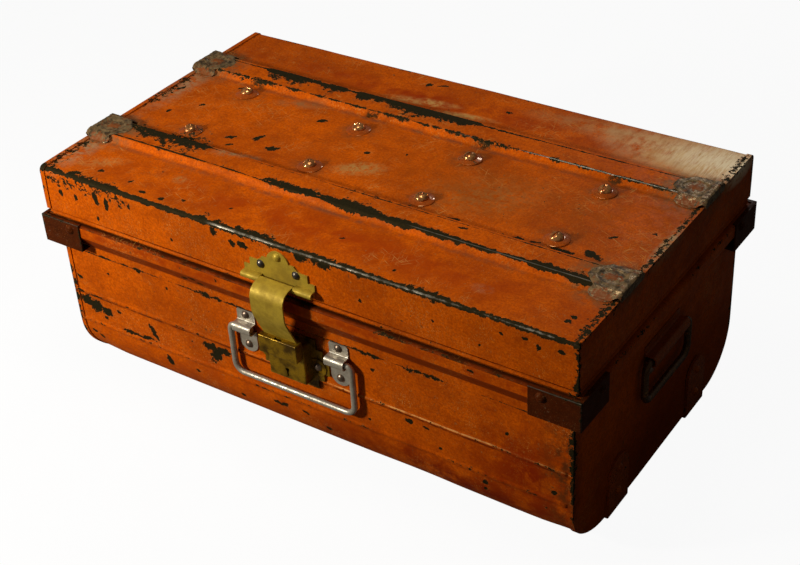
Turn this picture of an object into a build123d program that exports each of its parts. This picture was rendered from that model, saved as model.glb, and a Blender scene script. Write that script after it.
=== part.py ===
from build123d import *
import os

os.makedirs("parts", exist_ok=True)

# A small sheet-steel trunk: a body with a rim band and a hinged lid with two lengthwise ribs, closed by a
# brass hasp and lock. +X is the trunk's length, +Y goes to the back, +Z is up. The pieces are drawn round
# the middle of the body, and each is saved with the origin on the ground below the middle of the whole
# trunk, hasp and hinges included. All sizes are millimetres.

# ---------------------------------------------------------------- sheet stock and fastenings
sheet = 0.8
seam_thickness = 0.8
seam_width = 4.0
touch_gap = 0.3
fit_gap = 0.05
running_clearance = 0.08

rivet_head_radius = 3.3
rivet_head_height = 2.2
rivet_shank_radius = 1.5
rivet_tail_radius = 2.4
rivet_tail_height = 0.9
rivet_hole_clearance = 0.05
rivet_hole_reach = 6.0

# ---------------------------------------------------------------- lid
lid_length = 450.0
lid_width = 261.0
lid_height = 40.5
lid_edge_radius = 3.5
lid_hem_height = 5.4
lid_hem_inset = 2.1
lid_bead_radius = 1.8

rib_spacing = 125.0
rib_base_width = 28.0
rib_top_width = 21.5
rib_height = 4.5
rib_edge_radius = 1.2

cap_thickness = 0.8
cap_length = 25.0
cap_nose = 7.0
cap_width = 42.0
cap_nose_width = 16.0
cap_drop = 7.0
cap_drop_width = 32.0
cap_panel_length = 15.0
cap_panel_width = 17.0
cap_panel_height = 0.7

bolt_end_insets = (66.0, 68.0)
bolt_middle_x = (-46.0, 51.0)
bolt_front_row_y = -35.0
bolt_back_row_y = (34.0, 27.0, 29.0, 34.0)
bolt_head_radius = 5.2
bolt_head_height = 3.8
bolt_shank_radius = 2.4
bolt_slot_width = 1.2
bolt_slot_depth = 1.3
bolt_slot_turn = 37.0
bolt_tail_length = 1.5
washer_radius = 9.5
washer_thickness = 0.9
washer_dish = 1.2
washer_flat_radius = 5.8
batten_width = 22.0
batten_thickness = 2.5
batten_overhang = 9.0
nut_across_flats = 9.0
nut_height = 4.0

# ---------------------------------------------------------------- body
runner_thickness = 2.0
body_height = 141.5
body_inset = 5.4
body_bend_radius = 40.0
neck_height = 15.0
wall_bead_width = 4.0
wall_bead_height = 0.7
wall_bead_bend_gap = 4.7
wall_bead_drop = 69.3

band_proud = 3.3
band_face_height = 9.7
band_edge_radius = 2.2
band_slope_height = 12.0
band_flange_height = 7.5
band_thickness = 0.8

plate_thickness = 1.1
plate_height = 22.0
plate_length_front = 38.0
plate_length_end = 37.0
plate_ledge_thickness = 0.8
plate_rivet_inset = 9.5
plate_rivet_drop = 5.0
plate_rivet_head_radius = 4.0

runner_width = 29.0
runner_spacing = 125.0
runner_tab_height = 47.0
runner_rivet_z = (16.0, 37.0)

# ---------------------------------------------------------------- back hinges
hinge_end_inset = 90.0
hinge_width = 44.0
hinge_leaf_thickness = 1.1
hinge_knuckle_radius = 3.0
hinge_pin_radius = 1.5
hinge_knuckle_length = 14.0
hinge_lid_leaf_height = 22.0
hinge_body_leaf_height = 20.0
hinge_rivet_spacing = 26.0
hinge_rivet_edge = 6.0
hinge_bend_radius = 1.2
hinge_joggle_height = 1.6
hinge_pin_head_radius = 2.2
hinge_pin_head_length = 1.0

# ---------------------------------------------------------------- front fittings
front_fittings_x = -3.0

lock_case_width = 32.0
lock_case_height = 33.0
lock_case_drop = 69.5
lock_case_depth = 8.0
lock_wall = 0.8
lock_edge_radius = 0.9
lock_plate_thickness = 1.4
lock_plate_rise = 14.7
lock_plate_steps = ((20.7, 21.2), (26.2, 13.2), (31.2, 6.6))
lock_rivet_offset = 21.5
lock_rivet_drop = 1.5
lock_boss_radius = 7.4
lock_boss_inner_radius = 4.9
lock_boss_height = 0.8
keyhole_radius = 1.6
keyhole_slot_width = 1.5
keyhole_rise = 8.0
keyhole_slot_length = 6.0
lug_length = 10.0
lug_radius = 1.7
lug_offset = 7.5

staple_width = 3.0
staple_height = 6.4
staple_reach = 3.55
staple_wall = 1.2
staple_back_wall = 0.7
staple_eye_depth = 1.3
staple_slot_clearance = 0.8
staple_drop = 1.4
lock_bolt_thickness = 1.0
lock_bolt_height = 2.8
lock_bolt_length = 11.6
lock_bolt_tail_height = 12.0
lock_bolt_tail_width = 2.0
lock_bolt_start = -2.6
keeper_width = 3.2
keeper_offset = -5.6
keeper_wall = 1.2

hasp_plate_thickness = 1.2
hasp_plate_bottom = 11.9
hasp_plate_foot_half_width = 30.0
hasp_plate_foot_height = 6.0
hasp_plate_shoulder_half_width = 24.6
hasp_plate_shoulder_height = 12.0
hasp_plate_scallop_radius = 7.0
hasp_plate_scallop_x = 20.0
hasp_plate_horn_height = 16.0
hasp_plate_lobe_radius = 9.5
hasp_plate_lobe_height = 14.2
hasp_rivet_offset = 15.0
hasp_rivet_height = 9.6
hasp_top_rivet_height = 19.3
hasp_knuckle_radius = 2.4
hasp_pin_radius = 1.0
hasp_knuckle_stand_off = 4.4
hasp_knuckle_gap = 0.4
hasp_axis_drop = 0.7
strap_width = 28.0
strap_thickness = 1.2
strap_bulge = 17.2
strap_top_radius = 9.0
strap_bulge_radius = 26.0
strap_bulge_foot_drop = 8.3
strap_bulge_drop = 0.6
strap_foot_radius = 4.0
strap_foot_rise = 1.7
strap_case_gap = 0.8
head_width = 33.0
head_height = 14.5
head_rise = 5.4
head_depth = 7.2
head_wall = 1.0
head_edge_radius = 0.8
head_slot_width = 6.5
head_slot_depth = 2.2

# ---------------------------------------------------------------- front handle
wire_radius = 2.25
front_bail_half_width = 53.2
front_bail_drop = 41.8
front_bail_corner_radius = 8.0
front_bail_top_radius = 4.4
front_bail_bar_end = 33.6
front_pivot_drop = 42.7
clip_offset = 40.6
clip_width = 16.0
clip_thickness = 1.0
clip_reach = 8.5
clip_crown_radius = 2.6
clip_foot_radius = 1.4
clip_wire_gap = 1.2
clip_cavity_height = 5.6
clip_upper_tab = 13.0
clip_lower_tab = 22.5
clip_rivet_rise = 9.4
clip_rivet_fall = 16.2
clip_corner_radius = 1.5

# ---------------------------------------------------------------- end handles
end_wire_radius = 2.6
end_pivot_drop = 40.3
end_bail_half_width = 34.0
end_bail_drop = 31.0
end_bail_corner_radius = 8.0
end_bail_top_radius = 6.4
end_bail_bar_end = 22.0
end_clip_width = 54.0
end_clip_reach = 9.2
end_clip_cavity_height = 6.4
end_clip_upper_tab = 10.6
end_clip_lower_tab = 19.0
end_clip_rivet_spacing = 19.0
end_clip_corner_radius = 5.0
end_clip_rivet_fall = 13.0

# ---------------------------------------------------------------- levels and half sizes worked out
lid_half_length = lid_length / 2
lid_half_width = lid_width / 2
bolt_column_x = (-lid_half_length + bolt_end_insets[0], *bolt_middle_x, lid_half_length - bolt_end_insets[1])
body_half_length = lid_half_length - body_inset
body_half_width = lid_half_width - body_inset
body_bottom_z = runner_thickness + seam_thickness
band_top_z = body_bottom_z + body_height
neck_top_z = band_top_z + neck_height
wall_bead_z = [body_bottom_z + body_bend_radius + wall_bead_bend_gap, band_top_z - wall_bead_drop]
lid_bottom_z = band_top_z + touch_gap
lid_top_z = lid_bottom_z + lid_height
lid_hem_z = lid_bottom_z + lid_hem_height
lid_seam_half_width = lid_half_width + seam_thickness
band_face_z = band_top_z - band_face_height
band_slope_z = band_face_z - band_slope_height
band_bottom_z = band_slope_z - band_flange_height
band_slope_run = body_inset + band_proud - band_thickness
band_slope_lean = band_slope_run / band_slope_height
band_half_length = lid_half_length + band_proud
band_half_width = lid_half_width + band_proud
plate_half_length = band_half_length + plate_thickness
plate_half_width = band_half_width + plate_thickness
hinge_axis_y = band_half_width + hinge_knuckle_radius
hinge_axis_z = band_top_z
case_back_y = -body_half_width - lock_plate_thickness
case_front_y = case_back_y - lock_case_depth
lock_case_bottom_z = band_top_z - lock_case_drop
lock_plate_middle_z = lock_case_bottom_z + lock_plate_rise
case_top_z = lock_case_bottom_z + lock_case_height
hasp_axis_y = -lid_half_width - hasp_knuckle_stand_off
hasp_plate_z = lid_bottom_z + hasp_plate_bottom
hasp_axis_z = hasp_plate_z - hasp_axis_drop
strap_foot_y = case_front_y - strap_case_gap - strap_thickness / 2
strap_foot_top_z = case_top_z + strap_foot_rise
strap_bulge_bottom_z = band_top_z - strap_bulge_foot_drop
head_top_z = case_top_z + head_rise
head_bottom_z = head_top_z - head_height
staple_top_z = case_top_z - staple_drop
front_pivot_y = -body_half_width - clip_thickness - wire_radius - clip_wire_gap
front_pivot_z = band_top_z - front_pivot_drop
end_pivot_x = body_half_length + clip_thickness + end_wire_radius + clip_wire_gap
end_pivot_z = band_top_z - end_pivot_drop
hasp_bulge_y = -lid_half_width - strap_bulge
hinge_back_y = hinge_axis_y + hinge_knuckle_radius
trunk_middle_y = (hinge_back_y + hasp_bulge_y - strap_thickness / 2) / 2


# ---------------------------------------------------------------- shapes used many times
def slab(x_range, y_range, z_range):
    """Return a box that spans three ranges, whichever end of each is given first."""
    sizes = [abs(high - low) for low, high in (x_range, y_range, z_range)]
    centre = [(high + low) / 2 for low, high in (x_range, y_range, z_range)]
    return Pos(*centre) * Box(*sizes)


def along_x(face_yz, x_low, x_high):
    """Extrude a face drawn in the YZ plane from one X to another."""
    return extrude(Plane.YZ.offset(x_low) * face_yz, amount=x_high - x_low)


def bent_strip(path, width, thickness):
    """Sweep a flat strip along a path that lies in a plane of constant X."""
    section_plane = Plane(origin=path @ 0, x_dir=(1, 0, 0), z_dir=path % 0)
    return sweep(section_plane * Rectangle(width, thickness), path=path)


def rod_x(radius, x_low, x_high, y, z):
    """Return a cylinder along X between two ends."""
    middle = (x_low + x_high) / 2
    return Pos(middle, y, z) * Rot(0, 90, 0) * Cylinder(radius, abs(x_high - x_low))


def dome(radius, height):
    """Return a dome that stands on the XY plane."""
    sphere = (radius**2 + height**2) / (2 * height)
    ball = Pos(0, 0, height - sphere) * Sphere(sphere)
    return ball & Pos(0, 0, height / 2) * Cylinder(2 * radius, height)


def seat(point, outward):
    """Return the plane on a surface point whose Z looks outwards."""
    return Plane(origin=point, z_dir=outward)


def rivet(point, outward, grip, head_radius=rivet_head_radius):
    """Return a rivet whose head sits on a point of an outside surface."""
    shank = Pos(0, 0, -grip / 2) * Cylinder(rivet_shank_radius, grip)
    tail = Pos(0, 0, -grip - rivet_tail_height / 2) * Cylinder(rivet_tail_radius, rivet_tail_height)
    return seat(point, outward) * (dome(head_radius, rivet_head_height) + shank + tail)


def rivet_hole(point, outward):
    """Return the round cutter that a rivet's shank passes through."""
    cutter = Cylinder(rivet_shank_radius + rivet_hole_clearance, 2 * rivet_hole_reach)
    return seat(point, outward) * cutter


def drill(part, points, outward):
    """Cut a rivet hole through a part at each point."""
    for point in points:
        part = part - rivet_hole(point, outward)
    return part


def save(name, shape):
    """Write one node's solids to its STEP file, moved to the origin below the whole trunk's middle."""
    solids = (Pos(0, -trunk_middle_y, 0) * shape).solids()
    node = solids[0] if len(solids) == 1 else Compound(children=list(solids))
    node.label = name
    export_step(node, f"parts/{name}.step")


# ---------------------------------------------------------------- body: wrapper and end sheets
def body_face(grow, top_z):
    """Return the trunk's U-shaped cross-section, grown outwards by a sheet or a seam."""
    half_width = body_half_width + grow
    bottom = body_bottom_z - grow
    radius = body_bend_radius + grow
    side = bottom + radius
    flat = half_width - radius
    outline = [
        Line((-half_width, top_z), (-half_width, side)),
        RadiusArc((-half_width, side), (-flat, bottom), -radius),
        Line((-flat, bottom), (flat, bottom)),
        RadiusArc((flat, bottom), (half_width, side), -radius),
        Line((half_width, side), (half_width, top_z)),
        Line((half_width, top_z), (-half_width, top_z)),
    ]
    return make_face([line.edge() for line in outline])


def wall_bead(side, z):
    """Return the low rounded bead that runs along the front or back wall."""
    wall_y = side * body_half_width
    half = wall_bead_width / 2
    arc = ThreePointArc((wall_y, z - half), (wall_y + side * wall_bead_height, z), (wall_y, z + half))
    chord = Line((wall_y, z + half), (wall_y, z - half))
    bead_half_length = body_half_length - seam_width
    return along_x(make_face([arc.edge(), chord.edge()]), -bead_half_length, bead_half_length)


wrapper_half_length = body_half_length - sheet
front_clip_x = [front_fittings_x + side * clip_offset for side in (-1, 1)]
front_rivet_z = (front_pivot_z + clip_rivet_rise, front_pivot_z - clip_rivet_fall)
front_clip_face_y = -body_half_width - clip_thickness
front_clip_rivets = [(x, front_clip_face_y, z) for x in front_clip_x for z in front_rivet_z]
lock_rivets = [
    (front_fittings_x + side * lock_rivet_offset, case_back_y, lock_plate_middle_z - lock_rivet_drop)
    for side in (-1, 1)
]
hinge_x = {side: side * (lid_half_length - hinge_end_inset) for side in (-1, 1)}
hinge_rivet_x = [x + step * hinge_rivet_spacing / 2 for x in hinge_x.values() for step in (-1, 1)]
hinge_leaf_face = hinge_leaf_thickness + fit_gap
hinge_body_rivet_z = band_slope_z - hinge_body_leaf_height + hinge_rivet_edge
hinge_body_rivets = [(x, body_half_width + hinge_leaf_face, hinge_body_rivet_z) for x in hinge_rivet_x]
hinge_lid_rivet_z = hinge_axis_z + hinge_lid_leaf_height - hinge_rivet_edge
hinge_lid_rivets = [(x, lid_half_width + hinge_leaf_face, hinge_lid_rivet_z) for x in hinge_rivet_x]
end_rivet_y = [step * end_clip_rivet_spacing for step in (-1, 0, 1)]
end_rivet_z = end_pivot_z - end_clip_rivet_fall
runner_y = {side: side * runner_spacing / 2 for side in (-1, 1)}


def end_clip_rivets(end):
    """Return the places of the rivets of one end handle's clip."""
    return [(end * (body_half_length + clip_thickness), y, end_rivet_z) for y in end_rivet_y]


def runner_rivets(end):
    """Return the places of the rivets that hold both runners' tabs to one end."""
    x = end * (body_half_length + runner_thickness)
    return [(x, y, z) for y in runner_y.values() for z in runner_rivet_z]


def make_body_wrapper():
    """Front, bottom and back in one bent sheet."""
    inside = body_face(-sheet, neck_top_z)
    wrapper = along_x(body_face(0, neck_top_z) - inside, -wrapper_half_length, wrapper_half_length)
    for side in (-1, 1):
        for z in wall_bead_z:
            wrapper = wrapper + wall_bead(side, z)
    wrapper = drill(wrapper, front_clip_rivets + lock_rivets, (0, -1, 0))
    return drill(wrapper, hinge_body_rivets, (0, 1, 0))


def make_body_end(end):
    """One flat end sheet with the seam that is folded round the wrapper's edge."""
    outer_x = end * body_half_length
    inner_x = end * wrapper_half_length
    low, high = sorted((inner_x, outer_x))
    panel = along_x(body_face(0, neck_top_z), low, high)
    seam_x = sorted((outer_x, end * (body_half_length - seam_width)))
    seam_ring = body_face(seam_thickness, band_bottom_z) - body_face(0, band_bottom_z)
    panel = panel + along_x(seam_ring, *seam_x)
    return drill(panel, end_clip_rivets(end) + runner_rivets(end), (end, 0, 0))


# ---------------------------------------------------------------- body: rim band and corner plates
def band_shape(skin):
    """Return the band's outer form, or its hollow when skin is the sheet's thickness."""
    low = band_face_z + skin * 0.5
    half_length = band_half_length - skin
    half_width = band_half_width - skin
    upper = slab((-half_length, half_length), (-half_width, half_width), (low, band_top_z - skin))
    upper = fillet(upper.faces().sort_by(Axis.Z)[-1].edges(), band_edge_radius - skin * 0.5)
    slope_foot = Pos(0, 0, band_slope_z) * Rectangle(
        2 * (body_half_length + band_thickness - skin), 2 * (body_half_width + band_thickness - skin)
    )
    slope_head = Pos(0, 0, low) * Rectangle(2 * half_length, 2 * half_width)
    slope = loft([slope_foot.face(), slope_head.face()])
    return upper + slope


def plate_rivet_points(end, side):
    """Return the rivet places of one corner plate, on its front face and on its end face."""
    z = band_top_z - plate_rivet_drop
    front_x = end * (plate_half_length - plate_length_front + plate_rivet_inset)
    end_y = side * (plate_half_width - plate_length_end + plate_rivet_inset)
    return (front_x, side * plate_half_width, z), (end * plate_half_length, end_y, z)


def drill_band(band):
    """Cut the corner plates' and hinges' rivet holes in the band."""
    for end in (-1, 1):
        for side in (-1, 1):
            front_point, end_point = plate_rivet_points(end, side)
            band = drill(band, [front_point], (0, side, 0))
            band = drill(band, [end_point], (end, 0, 0))
    return band


def make_rim_band():
    """The hollow band round the body's rim, with a slope and a flat flange below it."""
    flange = slab(
        (-body_half_length - band_thickness, body_half_length + band_thickness),
        (-body_half_width - band_thickness, body_half_width + band_thickness),
        (band_bottom_z, band_slope_z),
    )
    neck = slab(
        (-body_half_length, body_half_length),
        (-body_half_width, body_half_width),
        (band_bottom_z, band_top_z),
    )
    return drill_band(band_shape(0) + flange - band_shape(band_thickness) - neck)


def make_corner_plate(end, side):
    """One corner plate: two walls, a ledge on the band's top and a turned-in foot."""
    x_out = end * plate_half_length
    y_out = side * plate_half_width
    x_in = x_out - end * plate_length_front
    y_in = y_out - side * plate_length_end
    z_low = band_top_z - plate_height
    z_high = band_top_z + plate_ledge_thickness
    block = slab((x_in, x_out), (y_out - side * plate_thickness, y_out), (z_low, z_high))
    block = block + slab((x_out - end * plate_thickness, x_out), (y_in, y_out), (z_low, z_high))
    ledge_x = end * (lid_half_length + seam_thickness + touch_gap * 2)
    ledge_y = side * (lid_seam_half_width + touch_gap * 2)
    block = block + slab((x_in, x_out), (ledge_y, y_out), (band_top_z, z_high))
    block = block + slab((ledge_x, x_out), (y_in, y_out), (band_top_z, z_high))
    foot_high = z_low + plate_ledge_thickness
    foot_gap = band_thickness + touch_gap + (foot_high - band_slope_z) * band_slope_lean
    foot_y = side * (body_half_width + foot_gap)
    foot_x = end * (body_half_length + foot_gap)
    block = block + slab((x_in, x_out), (foot_y, y_out), (z_low, foot_high))
    block = block + slab((foot_x, x_out), (y_in, y_out), (z_low, foot_high))
    corner = block.edges().filter_by(Axis.Z).sort_by_distance((x_out, y_out, z_low))[0]
    block = fillet(corner, plate_thickness * 0.9)
    front_point, end_point = plate_rivet_points(end, side)
    block = drill(block, [front_point], (0, side, 0))
    return drill(block, [end_point], (end, 0, 0))


def make_corner_plate_rivets():
    """All the rivets that hold the corner plates to the band."""
    pins = []
    for end in (-1, 1):
        for side in (-1, 1):
            front_point, end_point = plate_rivet_points(end, side)
            grip = plate_thickness + band_thickness
            pins.append(rivet(front_point, (0, side, 0), grip, plate_rivet_head_radius))
            pins.append(rivet(end_point, (end, 0, 0), grip, plate_rivet_head_radius))
    return Compound(children=pins)


# ---------------------------------------------------------------- body: bottom runners
def make_runner(y):
    """One bottom strap whose ends turn up the end sheets as round-topped tabs."""
    reach = body_half_length + runner_thickness
    half = runner_width / 2
    strap = slab((-reach, reach), (y - half, y + half), (0, runner_thickness))
    for end in (-1, 1):
        tab = slab(
            (end * body_half_length, end * reach),
            (y - half, y + half),
            (0, runner_tab_height - half),
        )
        round_top = Pos(end * (reach - runner_thickness / 2), y, runner_tab_height - half)
        tab = tab + round_top * Rot(0, 90, 0) * Cylinder(half, runner_thickness)
        strap = strap + tab
    bends = strap.edges().filter_by(Axis.Y).group_by(Axis.Z)[0]
    strap = fillet(bends, runner_thickness * 0.9)
    for end in (-1, 1):
        strap = drill(strap, runner_rivets(end), (end, 0, 0))
    return strap


def make_runner_rivets():
    """All the rivets of the runners' tabs."""
    grip = runner_thickness + sheet
    pins = [rivet(point, (end, 0, 0), grip) for end in (-1, 1) for point in runner_rivets(end)]
    return Compound(children=pins)


# ---------------------------------------------------------------- lock on the body's front
staple_back_y = strap_foot_y + strap_thickness / 2 + staple_reach
lock_bolt_middle_y = staple_back_y - staple_back_wall - staple_eye_depth / 2
lock_bolt_middle_z = staple_top_z - staple_height / 2
lock_bolt_nose_x = front_fittings_x + lock_bolt_start


def lock_plate_form(y_front, y_back):
    """Return the stepped outline of the lock's plate, between two depths."""
    form = None
    for half_width, half_height in lock_plate_steps:
        step = slab(
            (front_fittings_x - half_width, front_fittings_x + half_width),
            (y_front, y_back),
            (lock_plate_middle_z - half_height, lock_plate_middle_z + half_height),
        )
        form = step if form is None else form + step
    return form


def lock_case_block(grow):
    """Return the outside block of the lock's case, grown sideways and upwards."""
    half = lock_case_width / 2 + grow
    return slab(
        (front_fittings_x - half, front_fittings_x + half),
        (case_front_y, case_back_y),
        (lock_case_bottom_z - grow, case_top_z + grow),
    )


def make_lock_backplate():
    """The stepped plate behind the lock, with a raised ring round each rivet."""
    plate = lock_plate_form(case_back_y, -body_half_width)
    boss_room = lock_plate_form(case_back_y - lock_boss_height, case_back_y) - lock_case_block(fit_gap)
    ring = Cylinder(lock_boss_radius, lock_boss_height) - Cylinder(lock_boss_inner_radius, lock_boss_height)
    for x, y, z in lock_rivets:
        boss = Pos(x, y - lock_boss_height / 2, z) * Rot(90, 0, 0) * ring
        plate = plate + (boss & boss_room)
    for z in wall_bead_z:
        plate = plate - wall_bead(-1, z)
    return drill(plate, lock_rivets, (0, -1, 0))


def make_lock_case():
    """The lock's pressed cover, open at its back, with a keyhole, a staple notch and a rolled lug."""
    case = lock_case_block(0)
    front = case.faces().sort_by(Axis.Y)[0]
    corners = case.edges().filter_by(Axis.Y)
    case = fillet(list(front.edges()) + list(corners), lock_edge_radius)
    half = lock_case_width / 2 - lock_wall
    case = case - slab(
        (front_fittings_x - half, front_fittings_x + half),
        (case_front_y + lock_wall, case_back_y),
        (lock_case_bottom_z + lock_wall, case_top_z - lock_wall),
    )
    notch_half = staple_width / 2 + staple_slot_clearance
    notch_back = staple_back_y + staple_slot_clearance
    notch_low = staple_top_z - staple_height - staple_slot_clearance
    case = case - slab(
        (front_fittings_x - notch_half, front_fittings_x + notch_half),
        (case_front_y, notch_back),
        (notch_low, case_top_z),
    )
    keyhole_z = lock_case_bottom_z + keyhole_rise
    keyhole = Rot(90, 0, 0) * Cylinder(keyhole_radius, 4 * lock_wall)
    keyhole = Pos(front_fittings_x, case_front_y, keyhole_z) * keyhole
    slot = slab(
        (front_fittings_x - keyhole_slot_width / 2, front_fittings_x + keyhole_slot_width / 2),
        (case_front_y, case_front_y + lock_wall),
        (keyhole_z - keyhole_slot_length, keyhole_z),
    )
    lug_x = front_fittings_x + lug_offset
    lug_y = case_back_y - lug_radius - fit_gap
    lug_z = lock_case_bottom_z - lug_radius / 2
    lug = rod_x(lug_radius, lug_x - lug_length / 2, lug_x + lug_length / 2, lug_y, lug_z)
    return case - keyhole - slot + lug


def make_lock_bolt():
    """The sliding bolt with the leg that the key pushes."""
    half_y = lock_bolt_thickness / 2
    half_z = lock_bolt_height / 2
    tail_x = lock_bolt_nose_x - lock_bolt_length
    depth = (lock_bolt_middle_y - half_y, lock_bolt_middle_y + half_y)
    bar = slab((tail_x, lock_bolt_nose_x), depth, (lock_bolt_middle_z - half_z, lock_bolt_middle_z + half_z))
    leg = slab(
        (tail_x, tail_x + lock_bolt_tail_width),
        depth,
        (lock_bolt_middle_z - half_z - lock_bolt_tail_height, lock_bolt_middle_z),
    )
    return bar + leg


def make_lock_bolt_keeper():
    """The block on the lock's plate whose groove guides the bolt behind the case's front."""
    half_y = lock_bolt_thickness / 2 + running_clearance
    half_z = lock_bolt_height / 2 + running_clearance
    keeper_middle = front_fittings_x + keeper_offset
    keeper_x = (keeper_middle - keeper_width / 2, keeper_middle + keeper_width / 2)
    front_y = case_front_y + lock_wall + touch_gap
    block = slab(
        keeper_x,
        (front_y, case_back_y),
        (lock_bolt_middle_z - half_z - keeper_wall, lock_bolt_middle_z + half_z + keeper_wall),
    )
    groove = slab(
        keeper_x,
        (front_y, lock_bolt_middle_y + half_y),
        (lock_bolt_middle_z - half_z, lock_bolt_middle_z + half_z),
    )
    return block - groove


def make_lock_rivets():
    """The two rivets that hold the lock to the body."""
    grip = lock_plate_thickness + sheet
    return Compound(children=[rivet(point, (0, -1, 0), grip) for point in lock_rivets])


# ---------------------------------------------------------------- handles
def clip_form(width, reach, cavity_height, upper_tab, lower_tab):
    """Return a handle clip on the plane Y = 0, facing -Y, with its pivot at height 0."""
    half_sheet = clip_thickness / 2
    crown = cavity_height / 2 + half_sheet
    path = FilletPolyline(
        (0, -half_sheet, -lower_tab),
        (0, -half_sheet, -crown),
        (0, half_sheet - reach, -crown),
        (0, half_sheet - reach, crown),
        (0, -half_sheet, crown),
        (0, -half_sheet, upper_tab),
        radius=[clip_foot_radius, clip_crown_radius, clip_crown_radius, clip_foot_radius],
    )
    return bent_strip(path, width, clip_thickness)


def bail_form(bar_end, half_width, drop, top_radius, corner_radius, radius):
    """Return a bent-wire bail that hangs in the plane Y = 0 from bars at height 0."""
    path = FilletPolyline(
        (-bar_end, 0, 0),
        (-half_width, 0, 0),
        (-half_width, 0, -drop),
        (half_width, 0, -drop),
        (half_width, 0, 0),
        (bar_end, 0, 0),
        radius=[top_radius, corner_radius, corner_radius, top_radius],
    )
    section = Plane(origin=path @ 0, z_dir=path % 0) * Circle(radius)
    return sweep(section, path=path)


def make_front_clip(x):
    """One clip of the front handle, with a rounded lower tab."""
    clip = clip_form(clip_width, clip_reach, clip_cavity_height, clip_upper_tab, clip_lower_tab)
    corners = clip.edges().filter_by(Axis.Y).sort_by(Axis.Z)
    clip = fillet(corners[:2], clip_width / 2 - touch_gap)
    clip = fillet(clip.edges().filter_by(Axis.Y).sort_by(Axis.Z)[-2:], clip_corner_radius)
    return drill(Pos(x, -body_half_width, front_pivot_z) * clip, front_clip_rivets, (0, -1, 0))


def make_front_bail():
    """The wire handle on the trunk's front."""
    bail = bail_form(
        front_bail_bar_end,
        front_bail_half_width,
        front_bail_drop,
        front_bail_top_radius,
        front_bail_corner_radius,
        wire_radius,
    )
    return Pos(front_fittings_x, front_pivot_y, front_pivot_z) * bail


def make_front_handle_rivets():
    """The rivets of both front clips."""
    grip = clip_thickness + sheet
    return Compound(children=[rivet(point, (0, -1, 0), grip) for point in front_clip_rivets])


def make_end_clip(end):
    """The wide clip that holds one end handle."""
    clip = clip_form(
        end_clip_width, end_clip_reach, end_clip_cavity_height, end_clip_upper_tab, end_clip_lower_tab
    )
    clip = fillet(clip.edges().filter_by(Axis.Y).sort_by(Axis.Z)[:2], end_clip_corner_radius)
    clip = fillet(clip.edges().filter_by(Axis.Y).sort_by(Axis.Z)[-2:], clip_corner_radius)
    clip = Pos(end * body_half_length, 0, end_pivot_z) * Rot(0, 0, end * 90) * clip
    return drill(clip, end_clip_rivets(end), (end, 0, 0))


def make_end_bail(end):
    """The wire handle on one end of the trunk."""
    bail = bail_form(
        end_bail_bar_end,
        end_bail_half_width,
        end_bail_drop,
        end_bail_top_radius,
        end_bail_corner_radius,
        end_wire_radius,
    )
    return Pos(end * end_pivot_x, 0, end_pivot_z) * Rot(0, 0, end * 90) * bail


def make_end_handle_rivets(end):
    """The rivets of one end handle's clip."""
    grip = clip_thickness + sheet
    return Compound(children=[rivet(point, (end, 0, 0), grip) for point in end_clip_rivets(end)])


# ---------------------------------------------------------------- back hinges
def knuckle(x_low, x_high):
    """Return one barrel of a back hinge, without its bore."""
    return rod_x(hinge_knuckle_radius, x_low, x_high, hinge_axis_y, hinge_axis_z)


def knuckle_room(x_low, x_high):
    """Return the room that one leaf keeps free for the other leaf's barrel."""
    radius = hinge_knuckle_radius + touch_gap
    return rod_x(radius, x_low - touch_gap, x_high + touch_gap, hinge_axis_y, hinge_axis_z)


def barrel_spans(x):
    """Return the X ranges of a hinge's left, middle and right barrels."""
    half = hinge_width / 2
    middle = hinge_knuckle_length / 2
    left = (x - half, x - middle - touch_gap)
    right = (x + middle + touch_gap, x + half)
    return left, (x - middle, x + middle), right


def hinge_bore(x):
    """Return the hole through all barrels of one hinge."""
    radius = hinge_pin_radius + running_clearance
    return rod_x(radius, x - hinge_width, x + hinge_width, hinge_axis_y, hinge_axis_z)


def make_hinge_body_leaf(x):
    """The leaf that follows the band and its slope down to the body's back wall."""
    half_leaf = hinge_leaf_thickness / 2 + fit_gap
    slope_length = (band_slope_run**2 + band_slope_height**2) ** 0.5
    drop = half_leaf * (slope_length - band_slope_height) / band_slope_run
    on_band = band_half_width + half_leaf
    on_flange = body_half_width + band_thickness + half_leaf
    on_wall = body_half_width + half_leaf
    step_z = band_bottom_z - touch_gap
    path = FilletPolyline(
        (x, on_band, hinge_axis_z),
        (x, on_band, band_face_z - drop),
        (x, on_flange, band_slope_z - drop),
        (x, on_flange, step_z),
        (x, on_wall, step_z - hinge_joggle_height),
        (x, on_wall, band_slope_z - hinge_body_leaf_height),
        radius=hinge_bend_radius,
    )
    leaf = bent_strip(path, hinge_width, hinge_leaf_thickness)
    left, middle, right = barrel_spans(x)
    leaf = leaf - knuckle_room(*middle) + knuckle(*left) + knuckle(*right) - hinge_bore(x)
    return drill(leaf, hinge_body_rivets, (0, 1, 0))


def make_hinge_lid_leaf(x):
    """The leaf that rises from the middle barrel up the lid's back skirt."""
    half_leaf = hinge_leaf_thickness / 2
    on_lid = lid_half_width + half_leaf + fit_gap
    barrel_top = hinge_axis_z + hinge_knuckle_radius - half_leaf
    path = FilletPolyline(
        (x, hinge_axis_y, barrel_top),
        (x, on_lid, barrel_top),
        (x, on_lid, hinge_axis_z + hinge_lid_leaf_height),
        radius=hinge_bend_radius,
    )
    leaf = bent_strip(path, hinge_width, hinge_leaf_thickness)
    left, middle, right = barrel_spans(x)
    leaf = leaf - knuckle_room(*left) - knuckle_room(*right) + knuckle(*middle) - hinge_bore(x)
    return drill(leaf, hinge_lid_rivets, (0, 1, 0))


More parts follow.
